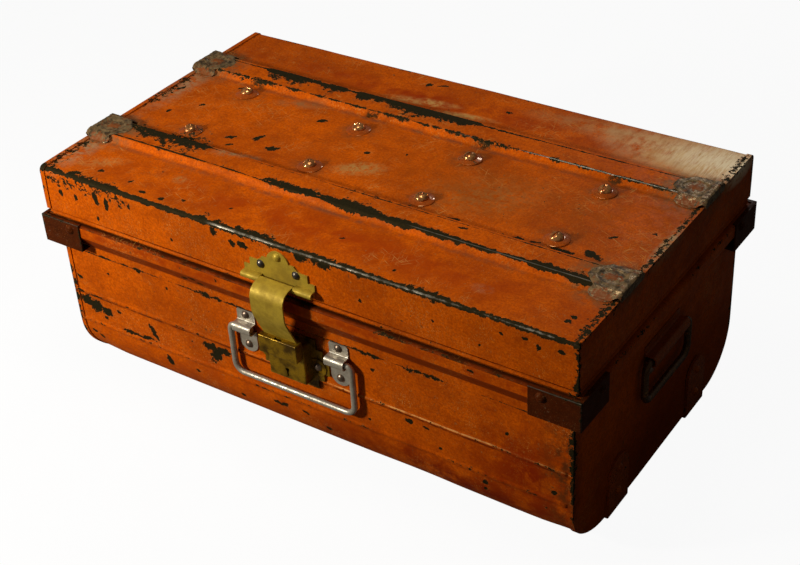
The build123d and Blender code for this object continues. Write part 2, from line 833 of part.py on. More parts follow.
def make_hinge_pin(x):
    """The pin of one back hinge, with a flat head at both ends."""
    half = hinge_width / 2 + touch_gap
    head = half + hinge_pin_head_length
    pin = rod_x(hinge_pin_radius, x - head, x + head, hinge_axis_y, hinge_axis_z)
    pin = pin + rod_x(hinge_pin_head_radius, x + half, x + head, hinge_axis_y, hinge_axis_z)
    return pin + rod_x(hinge_pin_head_radius, x - head, x - half, hinge_axis_y, hinge_axis_z)


def make_hinge_rivets(points, wall_thickness):
    """The rivets of both hinges on one side of the parting."""
    grip = hinge_leaf_thickness + wall_thickness + fit_gap
    return Compound(children=[rivet(point, (0, 1, 0), grip) for point in points])


# ---------------------------------------------------------------- lid
def corners_near(face, points):
    """Return the face's vertices that lie nearest to the given points."""
    return [face.vertices().sort_by_distance((y, z, 0))[0] for y, z in points]


def lid_face(grow, bottom_z):
    """Return the lid's cross-section with its two ribs, grown by a sheet or a seam."""
    rise = rib_height
    run = (rib_base_width - rib_top_width) / 2
    lean = ((run**2 + rise**2) ** 0.5 - run) / rise
    base_half = rib_base_width / 2 + grow * lean
    top_half = rib_top_width / 2 + grow * lean
    half_width = lid_half_width + grow
    top = lid_top_z + grow
    hem_half = half_width - lid_hem_inset
    hem_z = lid_hem_z - grow
    outline = [(-hem_half, bottom_z), (-hem_half, hem_z)] if bottom_z < hem_z else []
    outline.append((-half_width, max(hem_z, bottom_z)))
    outline.append((-half_width, top))
    valleys = []
    crests = []
    for middle in (-rib_spacing / 2, rib_spacing / 2):
        valleys += [(middle - base_half, top), (middle + base_half, top)]
        crests += [(middle - top_half, top + rise), (middle + top_half, top + rise)]
        outline += [valleys[-2], crests[-2], crests[-1], valleys[-1]]
    outline.append((half_width, top))
    outline.append((half_width, max(hem_z, bottom_z)))
    outline += [(hem_half, hem_z), (hem_half, bottom_z)] if bottom_z < hem_z else []
    face = make_face(Polyline(*outline, close=True).edges())
    face = fillet(corners_near(face, [(-half_width, top), (half_width, top)]), lid_edge_radius + grow)
    face = fillet(corners_near(face, crests), rib_edge_radius + grow)
    return fillet(corners_near(face, valleys), rib_edge_radius + seam_thickness * 2 - grow)


def bolt_points():
    """Return the places of the lid's bolts on the lid's top."""
    front_row = [(x, bolt_front_row_y, lid_top_z) for x in bolt_column_x]
    back_row = [(x, y, lid_top_z) for x, y in zip(bolt_column_x, bolt_back_row_y)]
    return front_row + back_row


def bolt_holes(radius):
    """Return one upright cutter for each of the lid's bolts."""
    return [Pos(x, y, z) * Cylinder(radius, lid_height) for x, y, z in bolt_points()]


def make_lid_sheet():
    """The lid's top with its ribs, and its front and back skirts, in one bent sheet."""
    half_length = lid_half_length - sheet
    skin = lid_face(0, lid_bottom_z) - lid_face(-sheet, lid_bottom_z)
    lid = along_x(skin, -half_length, half_length)
    hem_half_length = lid_half_length - lid_hem_inset - sheet
    for end in (-1, 1):
        lid = lid - slab(
            (end * hem_half_length, end * lid_half_length),
            (-lid_half_width, lid_half_width),
            (lid_bottom_z, lid_hem_z + sheet),
        )
    for hole in bolt_holes(bolt_shank_radius + fit_gap):
        lid = lid - hole
    lid = drill(lid, hinge_lid_rivets, (0, 1, 0))
    return drill(lid, hasp_steel_rivets + [hasp_brass_rivet], (0, -1, 0))


def make_lid_end(end):
    """One end sheet of the lid: its seam folds over the top, and its hem steps inwards."""
    outer_x = end * lid_half_length
    inner_x = end * (lid_half_length - sheet)
    panel = along_x(lid_face(0, lid_hem_z), *sorted((inner_x, outer_x)))
    seam_ring = lid_face(seam_thickness, lid_hem_z) - lid_face(0, lid_hem_z)
    seam_x = sorted((end * (lid_half_length - seam_width), outer_x))
    panel = panel + along_x(seam_ring, *seam_x)
    hem_outer = end * (lid_half_length - lid_hem_inset)
    hem_inner = end * (lid_half_length - lid_hem_inset - sheet)
    step = slab((hem_inner, outer_x), (-lid_half_width, lid_half_width), (lid_hem_z, lid_hem_z + sheet))
    hem_half = lid_half_width - lid_hem_inset
    hem = slab((hem_inner, hem_outer), (-hem_half, hem_half), (lid_bottom_z, lid_hem_z + sheet))
    return panel + step + hem


def make_lid_rim_bead():
    """The half-round wire that runs round the lid's hem."""
    half_length = lid_half_length - lid_hem_inset
    half_width = lid_half_width - lid_hem_inset
    z = lid_bottom_z + lid_bead_radius
    ring = None
    for side in (-1, 1):
        long_bar = rod_x(lid_bead_radius, -half_length, half_length, side * half_width, z)
        short_bar = Pos(side * half_length, 0, z) * Rot(90, 0, 0) * Cylinder(lid_bead_radius, 2 * half_width)
        ring = long_bar + short_bar if ring is None else ring + long_bar + short_bar
    for end in (-1, 1):
        for side in (-1, 1):
            ring = ring + Pos(end * half_length, side * half_width, z) * Sphere(lid_bead_radius)
    core_z = (lid_bottom_z, z + 2 * lid_bead_radius)
    return ring - slab((-half_length, half_length), (-half_width, half_width), core_z)


def make_rib_cap(end, side):
    """One pressed cap over the end of a rib, folded down over the lid's end."""
    middle = side * rib_spacing / 2
    inner_grow = seam_thickness
    outer_grow = seam_thickness + cap_thickness
    tip_x = lid_half_length - cap_length
    edge_x = lid_half_length + cap_thickness
    shell = lid_face(outer_grow, lid_hem_z) - lid_face(inner_grow, lid_hem_z)
    top = along_x(shell, tip_x, edge_x)
    half = cap_width / 2
    nose_half = cap_nose_width / 2
    outline = Polyline(
        (tip_x, middle - nose_half),
        (tip_x + cap_nose, middle - half),
        (edge_x, middle - half),
        (edge_x, middle + half),
        (tip_x + cap_nose, middle + half),
        (tip_x, middle + nose_half),
        close=True,
    )
    plan = Pos(0, 0, lid_top_z) * extrude(make_face(outline.edges()), amount=lid_height)
    flap = along_x(lid_face(outer_grow, lid_hem_z), lid_half_length, edge_x)
    flap_half = cap_drop_width / 2
    flap_z = (lid_top_z - cap_drop, lid_top_z + lid_height)
    flap = flap & slab((tip_x, edge_x), (middle - flap_half, middle + flap_half), flap_z)
    panel_top = lid_top_z + rib_height + outer_grow
    panel_x = (tip_x + cap_nose, tip_x + cap_nose + cap_panel_length)
    panel_half = cap_panel_width / 2
    panel_z = (panel_top, panel_top + cap_panel_height)
    panel = slab(panel_x, (middle - panel_half, middle + panel_half), panel_z)
    panel = fillet(panel.faces().sort_by(Axis.Z)[-1].edges(), cap_panel_height * 0.8)
    cap = (top & plan) + flap + panel
    return cap if end > 0 else mirror(cap, about=Plane.YZ)


def make_lid_bolts():
    """The bolts of the lid's battens, with slotted dome heads."""
    bolts = []
    head_z = washer_dish + washer_thickness
    reach = head_z + sheet + batten_thickness + nut_height + bolt_tail_length
    for count, (x, y, z) in enumerate(bolt_points()):
        shank = Pos(0, 0, -reach / 2) * Cylinder(bolt_shank_radius, reach)
        bolt = dome(bolt_head_radius, bolt_head_height) + shank
        slot_z = bolt_head_height - bolt_slot_depth / 2
        slot = Pos(0, 0, slot_z) * Box(3 * bolt_head_radius, bolt_slot_width, bolt_slot_depth)
        bolts.append(Pos(x, y, z + head_z) * Rot(0, 0, count * bolt_slot_turn) * (bolt - slot))
    return Compound(children=bolts)


def make_lid_washers():
    """The dished washers below the bolt heads."""
    hole = bolt_shank_radius + fit_gap
    outline = Polyline(
        (hole, 0, washer_dish),
        (washer_flat_radius, 0, washer_dish),
        (washer_radius, 0, 0),
        (washer_radius, 0, washer_thickness / 2),
        (washer_flat_radius, 0, washer_dish + washer_thickness),
        (hole, 0, washer_dish + washer_thickness),
        close=True,
    )
    washer = revolve(make_face(outline.edges()), axis=Axis.Z)
    return Compound(children=[Pos(*point) * washer for point in bolt_points()])


def make_lid_nuts():
    """The hexagon nuts below the battens."""
    nut = extrude(RegularPolygon(nut_across_flats / 2, 6, major_radius=False), amount=-nut_height)
    nut = nut - Cylinder(bolt_shank_radius + fit_gap, 3 * nut_height)
    nut_top = lid_top_z - sheet - batten_thickness
    return Compound(children=[Pos(x, y, nut_top) * nut for x, y, z in bolt_points()])


def make_lid_batten(x, back_row_y):
    """One crosswise flat bar below the lid, held by two bolts."""
    z_high = lid_top_z - sheet
    batten = slab(
        (x - batten_width / 2, x + batten_width / 2),
        (bolt_front_row_y - batten_overhang, back_row_y + batten_overhang),
        (z_high - batten_thickness, z_high),
    )
    for hole in bolt_holes(bolt_shank_radius + fit_gap):
        batten = batten - hole
    return batten


# ---------------------------------------------------------------- hasp
hasp_face_y = -lid_half_width - hasp_plate_thickness
hasp_steel_rivets = [
    (front_fittings_x + side * hasp_rivet_offset, hasp_face_y, hasp_plate_z + hasp_rivet_height)
    for side in (-1, 1)
]
hasp_brass_rivet = (front_fittings_x, hasp_face_y, hasp_plate_z + hasp_top_rivet_height)
hasp_grip = hasp_plate_thickness + sheet


def hasp_barrel(radius, x_low, x_high):
    """Return a cylinder on the hasp's axis, between two distances from its middle."""
    return rod_x(radius, front_fittings_x + x_low, front_fittings_x + x_high, hasp_axis_y, hasp_axis_z)


def make_hasp_plate():
    """The hasp's plate with its stepped and scalloped outline and its two side barrels."""
    depth = (hasp_face_y, -lid_half_width)
    middle_x = front_fittings_x
    rows = (
        (hasp_plate_foot_half_width, 0, hasp_plate_foot_height),
        (hasp_plate_shoulder_half_width, 0, hasp_plate_shoulder_height),
        (hasp_plate_scallop_x, 0, hasp_plate_horn_height),
    )
    plate = None
    for half, low, high in rows:
        row = slab((middle_x - half, middle_x + half), depth, (hasp_plate_z + low, hasp_plate_z + high))
        plate = row if plate is None else plate + row
    lobe = Cylinder(hasp_plate_lobe_radius, hasp_plate_thickness)
    lobe_z = hasp_plate_z + hasp_plate_lobe_height
    plate = plate + Pos(front_fittings_x, sum(depth) / 2, lobe_z) * Rot(90, 0, 0) * lobe
    scallop_z = hasp_plate_z + hasp_plate_shoulder_height + hasp_plate_scallop_radius
    for side in (-1, 1):
        scallop = Rot(90, 0, 0) * Cylinder(hasp_plate_scallop_radius, 3 * hasp_plate_thickness)
        x = front_fittings_x + side * hasp_plate_scallop_x
        plate = plate - Pos(x, sum(depth) / 2, scallop_z) * scallop
    inner = strap_width / 2 + hasp_knuckle_gap
    web_top = hasp_axis_z + hasp_knuckle_radius
    for side in (-1, 1):
        low, high = sorted((side * inner, side * hasp_plate_foot_half_width))
        web = slab(
            (front_fittings_x + low, front_fittings_x + high),
            (hasp_axis_y, -lid_half_width),
            (web_top - hasp_plate_thickness, web_top),
        )
        plate = plate + web + hasp_barrel(hasp_knuckle_radius, low, high)
    half = hasp_plate_foot_half_width
    plate = plate - hasp_barrel(hasp_pin_radius + running_clearance, -half, half)
    return drill(plate, hasp_steel_rivets + [hasp_brass_rivet], (0, -1, 0))


def strap_path():
    """Return the middle line of the hasp's strap, from its barrel down to its foot."""
    x = front_fittings_x
    top_z = hasp_axis_z + hasp_knuckle_radius - strap_thickness / 2
    return FilletPolyline(
        (x, hasp_axis_y, top_z),
        (x, hasp_bulge_y, top_z - strap_bulge_drop),
        (x, hasp_bulge_y, strap_bulge_bottom_z),
        (x, strap_foot_y, strap_foot_top_z),
        (x, strap_foot_y, head_bottom_z + head_wall),
        radius=[strap_top_radius, strap_bulge_radius, strap_foot_radius],
    )


def make_hasp_strap():
    """The arched strap of the hasp, with its middle barrel."""
    half = strap_width / 2
    strap = bent_strip(strap_path(), strap_width, strap_thickness)
    strap = strap + hasp_barrel(hasp_knuckle_radius, -half, half)
    return strap - hasp_barrel(hasp_pin_radius + running_clearance, -half, half)


def make_hasp_pin():
    """The pin through the hasp's three barrels."""
    half = hasp_plate_foot_half_width
    return hasp_barrel(hasp_pin_radius, -half, half)


def make_hasp_head():
    """The box-shaped finger piece round the strap's foot, open at its back."""
    half = head_width / 2
    back_y = strap_foot_y + strap_thickness / 2
    front_y = back_y - head_depth
    side_x = (front_fittings_x - half, front_fittings_x + half)
    head = slab(side_x, (front_y, back_y), (head_bottom_z, head_top_z))
    front = head.faces().sort_by(Axis.Y)[0]
    head = fillet(list(front.edges()) + list(head.edges().filter_by(Axis.Y)), head_edge_radius)
    inner = half - head_wall
    head = head - slab(
        (front_fittings_x - inner, front_fittings_x + inner),
        (front_y + head_wall, back_y),
        (head_bottom_z + head_wall, head_top_z - head_wall),
    )
    half_strap = strap_width / 2 + fit_gap
    head = head - bent_strip(strap_path(), 2 * half_strap, strap_thickness + 2 * fit_gap)
    slot_half = head_slot_width / 2
    return head - slab(
        (front_fittings_x - slot_half, front_fittings_x + slot_half),
        (front_y + head_wall, front_y + head_wall + head_slot_depth),
        (head_top_z - head_wall, head_top_z),
    )


def make_hasp_staple():
    """The eye on the strap's back that enters the lock and takes the bolt."""
    front_y = strap_foot_y + strap_thickness / 2
    x_range = (front_fittings_x - staple_width / 2, front_fittings_x + staple_width / 2)
    staple = slab(x_range, (front_y, staple_back_y), (staple_top_z - staple_height, staple_top_z))
    half_y = staple_eye_depth / 2
    half_z = staple_height / 2 - staple_wall
    return staple - slab(
        x_range,
        (lock_bolt_middle_y - half_y, lock_bolt_middle_y + half_y),
        (lock_bolt_middle_z - half_z, lock_bolt_middle_z + half_z),
    )


# ---------------------------------------------------------------- every node and its file
end_names = {-1: "left", 1: "right"}
side_names = {-1: "front", 1: "back"}

save("body_wrapper", make_body_wrapper())
save("rim_band", make_rim_band())
save("corner_plate_rivets", make_corner_plate_rivets())
save("runner_rivets", make_runner_rivets())
save("lock_backplate", make_lock_backplate())
save("lock_case", make_lock_case())
save("lock_bolt", make_lock_bolt())
save("lock_bolt_keeper", make_lock_bolt_keeper())
save("lock_rivets", make_lock_rivets())
save("front_handle_bail", make_front_bail())
save("front_handle_rivets", make_front_handle_rivets())
save("hinge_body_rivets", make_hinge_rivets(hinge_body_rivets, sheet))
save("hinge_lid_rivets", make_hinge_rivets(hinge_lid_rivets, sheet))
save("lid_sheet", make_lid_sheet())
save("lid_rim_bead", make_lid_rim_bead())
save("lid_bolts", make_lid_bolts())
save("lid_washers", make_lid_washers())
save("lid_nuts", make_lid_nuts())
save("hasp_plate", make_hasp_plate())
save("hasp_strap", make_hasp_strap())
save("hasp_pin", make_hasp_pin())
save("hasp_head", make_hasp_head())
save("hasp_staple", make_hasp_staple())
save("hasp_rivets", Compound(children=[rivet(p, (0, -1, 0), hasp_grip) for p in hasp_steel_rivets]))
save("hasp_brass_rivet", rivet(hasp_brass_rivet, (0, -1, 0), hasp_grip))

for end, end_name in end_names.items():
    save(f"body_end_{end_name}", make_body_end(end))
    save(f"lid_end_{end_name}", make_lid_end(end))
    save(f"{end_name}_handle_clip", make_end_clip(end))
    save(f"{end_name}_handle_bail", make_end_bail(end))
    save(f"{end_name}_handle_rivets", make_end_handle_rivets(end))
    save(f"front_handle_clip_{end_name}", make_front_clip(front_fittings_x + end * clip_offset))
    save(f"hinge_body_leaf_{end_name}", make_hinge_body_leaf(hinge_x[end]))
    save(f"hinge_lid_leaf_{end_name}", make_hinge_lid_leaf(hinge_x[end]))
    save(f"hinge_pin_{end_name}", make_hinge_pin(hinge_x[end]))
    for side, side_name in side_names.items():
        save(f"corner_plate_{side_name}_{end_name}", make_corner_plate(end, side))
        save(f"rib_cap_{side_name}_{end_name}", make_rib_cap(end, side))

for side, side_name in side_names.items():
    save(f"runner_{side_name}", make_runner(runner_y[side]))

for count, (x, back_row_y) in enumerate(zip(bolt_column_x, bolt_back_row_y), start=1):
    save(f"lid_batten_{count}", make_lid_batten(x, back_row_y))
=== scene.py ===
"""A small enamelled sheet-steel trunk with a brass hasp and lock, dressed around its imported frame."""

import logging
import math
from dataclasses import dataclass
from enum import Enum

import bmesh
import bpy
from mathutils import Matrix, Vector, noise


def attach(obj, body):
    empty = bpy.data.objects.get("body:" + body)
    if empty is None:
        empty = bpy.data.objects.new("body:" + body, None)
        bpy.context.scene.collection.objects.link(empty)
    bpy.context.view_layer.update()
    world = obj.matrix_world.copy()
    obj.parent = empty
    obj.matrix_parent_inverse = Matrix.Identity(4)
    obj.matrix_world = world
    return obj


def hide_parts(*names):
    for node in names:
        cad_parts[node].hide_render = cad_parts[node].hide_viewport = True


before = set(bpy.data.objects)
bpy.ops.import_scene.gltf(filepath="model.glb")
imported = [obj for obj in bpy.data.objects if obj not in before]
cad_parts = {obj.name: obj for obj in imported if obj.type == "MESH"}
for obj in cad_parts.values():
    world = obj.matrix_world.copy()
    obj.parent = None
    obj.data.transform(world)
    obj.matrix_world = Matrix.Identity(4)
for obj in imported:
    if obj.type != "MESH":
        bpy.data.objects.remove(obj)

log = logging.getLogger("tin_trunk")

MM = 0.001
NOISE_SEED = 7
CHIP_DEPTH = 1.7
CHIP_GROWTH = 1.6
CHIP_REACH = 12.0
PATCH_DEPTH = 1.6

Colour = tuple[float, float, float]
Point = tuple[float, float, float]


def millimetres(*values: float) -> tuple[float, ...]:
    """Turn millimetres into metres.

    Args:
        values: Lengths in millimetres.

    Returns:
        The same lengths in metres.
    """
    return tuple(value * MM for value in values)


class Graph:
    """A material's node tree, with short calls for the nodes that the finishes use."""

    def __init__(self, name: str) -> None:
        """Start an empty material.

        Args:
            name: The material's name.
        """
        self.material = bpy.data.materials.new(name)
        self.material.use_nodes = True
        self.tree = self.material.node_tree
        self.tree.nodes.clear()

    def add(self, kind: str, **settings: object) -> bpy.types.Node:
        """Add a node and set its plain properties.

        Args:
            kind: The node's type name.
            settings: Property names and their values.

        Returns:
            The new node.
        """
        node = self.tree.nodes.new(kind)
        for name, value in settings.items():
            setattr(node, name, value)
        return node

    def feed(self, socket: bpy.types.NodeSocket, value: object) -> None:
        """Link a socket to another one, or set its value.

        Args:
            socket: The input socket.
            value: An output socket, a number, a vector or a colour.
        """
        if isinstance(value, bpy.types.NodeSocket):
            self.tree.links.new(value, socket)
        elif isinstance(value, tuple) and socket.type == "RGBA":
            socket.default_value = (*value, 1.0)
        else:
            socket.default_value = value

    def place(self) -> bpy.types.NodeSocket:
        """Return the Object coordinates, in metres."""
        return self.add("ShaderNodeTexCoord").outputs["Object"]

    def split(self, vector: bpy.types.NodeSocket) -> list[bpy.types.NodeSocket]:
        """Split a vector.

        Args:
            vector: The vector's socket.

        Returns:
            Its three parts.
        """
        node = self.add("ShaderNodeSeparateXYZ")
        self.feed(node.inputs[0], vector)
        return list(node.outputs)

    def math(self, operation: str, *values: object, clamp: bool = False) -> bpy.types.NodeSocket:
        """Return the result of a Math node.

        Args:
            operation: The node's operation, such as MULTIPLY.
            values: One to three sockets or numbers.
            clamp: Whether the result is kept between 0 and 1.

        Returns:
            The result's socket.
        """
        node = self.add("ShaderNodeMath", operation=operation, use_clamp=clamp)
        for socket, value in zip(node.inputs, values):
            self.feed(socket, value)
        return node.outputs[0]

    def largest(self, values: list[bpy.types.NodeSocket]) -> bpy.types.NodeSocket:
        """Return the largest of several numbers.

        Args:
            values: At least one socket.

        Returns:
            The largest value's socket.
        """
        result = values[0]
        for value in values[1:]:
            result = self.math("MAXIMUM", result, value)
        return result

    def stretch(self, vector: bpy.types.NodeSocket, scale: Point, turn: Point = (0.0, 0.0, 0.0),
                shift: Point = (0.0, 0.0, 0.0)) -> bpy.types.NodeSocket:
        """Scale, turn and shift a vector.

        Args:
            vector: The vector's socket.
            scale: The scale along each axis.
            turn: The turn about each axis, in radians.
            shift: The shift along each axis.

        Returns:
            The new vector's socket.
        """
        node = self.add("ShaderNodeMapping")
        self.feed(node.inputs["Vector"], vector)
        node.inputs["Scale"].default_value = scale
        node.inputs["Rotation"].default_value = turn
        node.inputs["Location"].default_value = shift
        return node.outputs[0]

    def noise(self, vector: bpy.types.NodeSocket, scale: float, detail: float = 4.0,
              roughness: float = 0.55, distortion: float = 0.0) -> bpy.types.NodeSocket:
        """Return a noise value between 0 and 1.

        Args:
            vector: The coordinates.
            scale: Waves per metre.
            detail: The number of finer layers.
            roughness: How strong the finer layers are.
            distortion: How far the noise is bent.

        Returns:
            The noise's socket.
        """
        node = self.add("ShaderNodeTexNoise")
        self.feed(node.inputs["Vector"], vector)
        node.inputs["Scale"].default_value = scale
        node.inputs["Detail"].default_value = detail
        node.inputs["Roughness"].default_value = roughness
        node.inputs["Distortion"].default_value = distortion
        return node.outputs["Fac"]

    def band(self, value: bpy.types.NodeSocket, low: float, high: float,
             to_low: float = 0.0, to_high: float = 1.0) -> bpy.types.NodeSocket:
        """Ramp a value smoothly from one level to another.

        Args:
            value: The value's socket.
            low: Where the ramp starts.
            high: Where the ramp ends; it may lie below low.
            to_low: The result at the start.
            to_high: The result at the end.

        Returns:
            The ramp's socket.
        """
        node = self.add("ShaderNodeMapRange", interpolation_type="SMOOTHSTEP")
        self.feed(node.inputs["Value"], value)
        node.inputs["From Min"].default_value = min(low, high)
        node.inputs["From Max"].default_value = max(low, high)
        node.inputs["To Min"].default_value = to_low if low <= high else to_high
        node.inputs["To Max"].default_value = to_high if low <= high else to_low
        return node.outputs["Result"]

    def mix(self, share: object, first: object, second: object) -> bpy.types.NodeSocket:
        """Mix two colours.

        Args:
            share: The second colour's share, from 0 to 1.
            first: The first colour.
            second: The second colour.

        Returns:
            The mixed colour's socket.
        """
        node = self.add("ShaderNodeMix", data_type="RGBA")
        self.feed(node.inputs["Factor"], share)
        colours = [socket for socket in node.inputs if socket.type == "RGBA"]
        self.feed(colours[0], first)
        self.feed(colours[1], second)
        return next(socket for socket in node.outputs if socket.type == "RGBA")

    def bump(self, height: bpy.types.NodeSocket, distance: float, strength: float = 1.0,
             under: bpy.types.NodeSocket | None = None) -> bpy.types.NodeSocket:
        """Return a normal bent by a height.

        Args:
            height: The height's socket, from 0 to 1.
            distance: The real height of 1, in metres.
            strength: The share of the effect.
            under: A normal that this one is added to.

        Returns:
            The normal's socket.
        """
        node = self.add("ShaderNodeBump")
        self.feed(node.inputs["Height"], height)
        node.inputs["Distance"].default_value = distance
        node.inputs["Strength"].default_value = strength
        if under is not None:
            self.feed(node.inputs["Normal"], under)
        return node.outputs[0]

    def surface(self, colour: object, roughness: object, metallic: object,
                normal: bpy.types.NodeSocket | None = None, **plain: float) -> bpy.types.Material:
        """Close the tree with a Principled surface.

        Args:
            colour: The base colour.
            roughness: The roughness.
            metallic: How metallic the surface is.
            normal: The bent normal.
            plain: Values for the shader's own sockets, by socket name with _ for a space.

        Returns:
            The finished material.
        """
        shader = self.add("ShaderNodeBsdfPrincipled")
        self.feed(shader.inputs["Base Color"], colour)
        self.feed(shader.inputs["Roughness"], roughness)
        self.feed(shader.inputs["Metallic"], metallic)
        if normal is not None:
            self.feed(shader.inputs["Normal"], normal)
        for name, value in plain.items():
            shader.inputs[name.replace("_", " ")].default_value = value
        output = self.add("ShaderNodeOutputMaterial")
        self.tree.links.new(shader.outputs[0], output.inputs[0])
        return self.material


class Axis(Enum):
    """The axis that a worn edge runs along."""

    X = 0
    Y = 1
    Z = 2


@dataclass(frozen=True)
class WornEdge:
    """A straight edge where the enamel has come off.

    The point is any point on the edge, in metres. Reach is how far the wear spreads from it, and bite is
    how much of that reach is bare. A stretch is a range along the edge, in metres, where the wear is
    heavy; elsewhere the reach is cut down to the share called calm. A bright edge is rubbed to metal.
    A steady edge is worn evenly along its length.
    """

    axis: Axis
    point: Point
    reach: float
    bite: float = 0.5
    calm: float = 1.0
    stretches: tuple[tuple[float, float], ...] = ()
    bright: tuple[tuple[float, float], ...] = ()
    bright_reach: float = 1.4 * MM
    steady: bool = False

    def distance(self, graph: Graph, parts: list[bpy.types.NodeSocket]) -> bpy.types.NodeSocket:
        """Return the distance from the edge's line.

        Args:
            graph: The material's tree.
            parts: The three coordinates.

        Returns:
            The distance in metres.
        """
        across = [index for index in range(3) if index != self.axis.value]
        squares = []
        for index in across:
            offset = graph.math("SUBTRACT", parts[index], self.point[index])
            squares.append(graph.math("MULTIPLY", offset, offset))
        return graph.math("SQRT", graph.math("ADD", *squares))

    def along(self, graph: Graph, place: bpy.types.NodeSocket,
              ranges: tuple[tuple[float, float], ...]) -> bpy.types.NodeSocket:
        """Return 1 inside the ranges along the edge and 0 outside them.

        Args:
            graph: The material's tree.
            place: The coordinate along the edge.
            ranges: The ranges, in metres.

        Returns:
            The share's socket.
        """
        soft = 8.0 * MM
        shares = []
        for low, high in ranges:
            rise = graph.band(place, low - soft, low + soft)
            fall = graph.band(place, high - soft, high + soft, 1.0, 0.0)
            shares.append(graph.math("MULTIPLY", rise, fall))
        return graph.largest(shares)

    def exposure(self, graph: Graph, parts: list[bpy.types.NodeSocket],
                 uneven: bpy.types.NodeSocket) -> bpy.types.NodeSocket:
        """Return how worn the surface is near the edge: bite on the edge, falling to 0 at the reach.

        Args:
            graph: The material's tree.
            parts: The three coordinates.
            uneven: How far the wear reaches here, as a share of the reach.

        Returns:
            The exposure's socket.
        """
        reach = self.reach if self.steady else graph.math("MULTIPLY", uneven, self.reach)
        near = graph.math("DIVIDE", self.distance(graph, parts), reach)
        if self.stretches:
            heavy = self.along(graph, parts[self.axis.value], self.stretches)
            share = graph.math("MULTIPLY_ADD", heavy, 1.0 - self.calm, self.calm)
            near = graph.math("DIVIDE", near, share)
        left = graph.math("SUBTRACT", 1.0, near, clamp=True)
        return graph.math("MULTIPLY", left, self.bite)

    def metal(self, graph: Graph, parts: list[bpy.types.NodeSocket],
              ragged: bpy.types.NodeSocket) -> bpy.types.NodeSocket:
        """Return 1 where the edge is rubbed to bright metal.

        Args:
            graph: The material's tree.
            parts: The three coordinates.
            ragged: A noise that breaks the line up.

        Returns:
            The share's socket.
        """
        reach = graph.math("MULTIPLY_ADD", ragged, self.bright_reach * 0.5, self.bright_reach * 0.75)
        left = graph.math("SUBTRACT", reach, self.distance(graph, parts))
        core = graph.band(left, 0.0, self.bright_reach * 0.35)
        return graph.math("MULTIPLY", core, self.along(graph, parts[self.axis.value], self.bright))


@dataclass(frozen=True)
class Chip:
    """A single chip in the enamel: an oval with ragged edges, in metres and radians."""

    place: Point
    radii: Point
    turn: Point = (0.0, 0.0, 0.0)
    depth: float = 1.0

    def exposure(self, graph: Graph, place: bpy.types.NodeSocket) -> bpy.types.NodeSocket:
        """Return how worn the surface is: depth in the chip's middle, falling to 0 at its rim.

        Args:
            graph: The material's tree.
            place: The coordinates, already made ragged.

        Returns:
            The exposure's socket.
        """
        node = graph.add("ShaderNodeMapping", vector_type="TEXTURE")
        graph.feed(node.inputs["Vector"], place)
        node.inputs["Location"].default_value = self.place
        node.inputs["Rotation"].default_value = self.turn
        node.inputs["Scale"].default_value = self.radii
        ball = graph.add("ShaderNodeTexGradient", gradient_type="SPHERICAL")
        graph.feed(ball.inputs[0], node.outputs[0])
        return graph.math("MULTIPLY", ball.outputs["Fac"], self.depth)


@dataclass(frozen=True)
class ColourPatch:
    """A soft patch of another colour in metres and radians: dirt, a tan scrape, painted shade, a painted highlight
    or a painted sheen.

    A grain of 0 makes an even patch. The streak stretches the grain's coordinates.
    """

    place: Point
    radii: Point
    colour: Colour
    turn: Point = (0.0, 0.0, 0.0)
    strength: float = 0.7
    grain: float = 90.0
    streak: Point = (1.0, 1.0, 1.0)


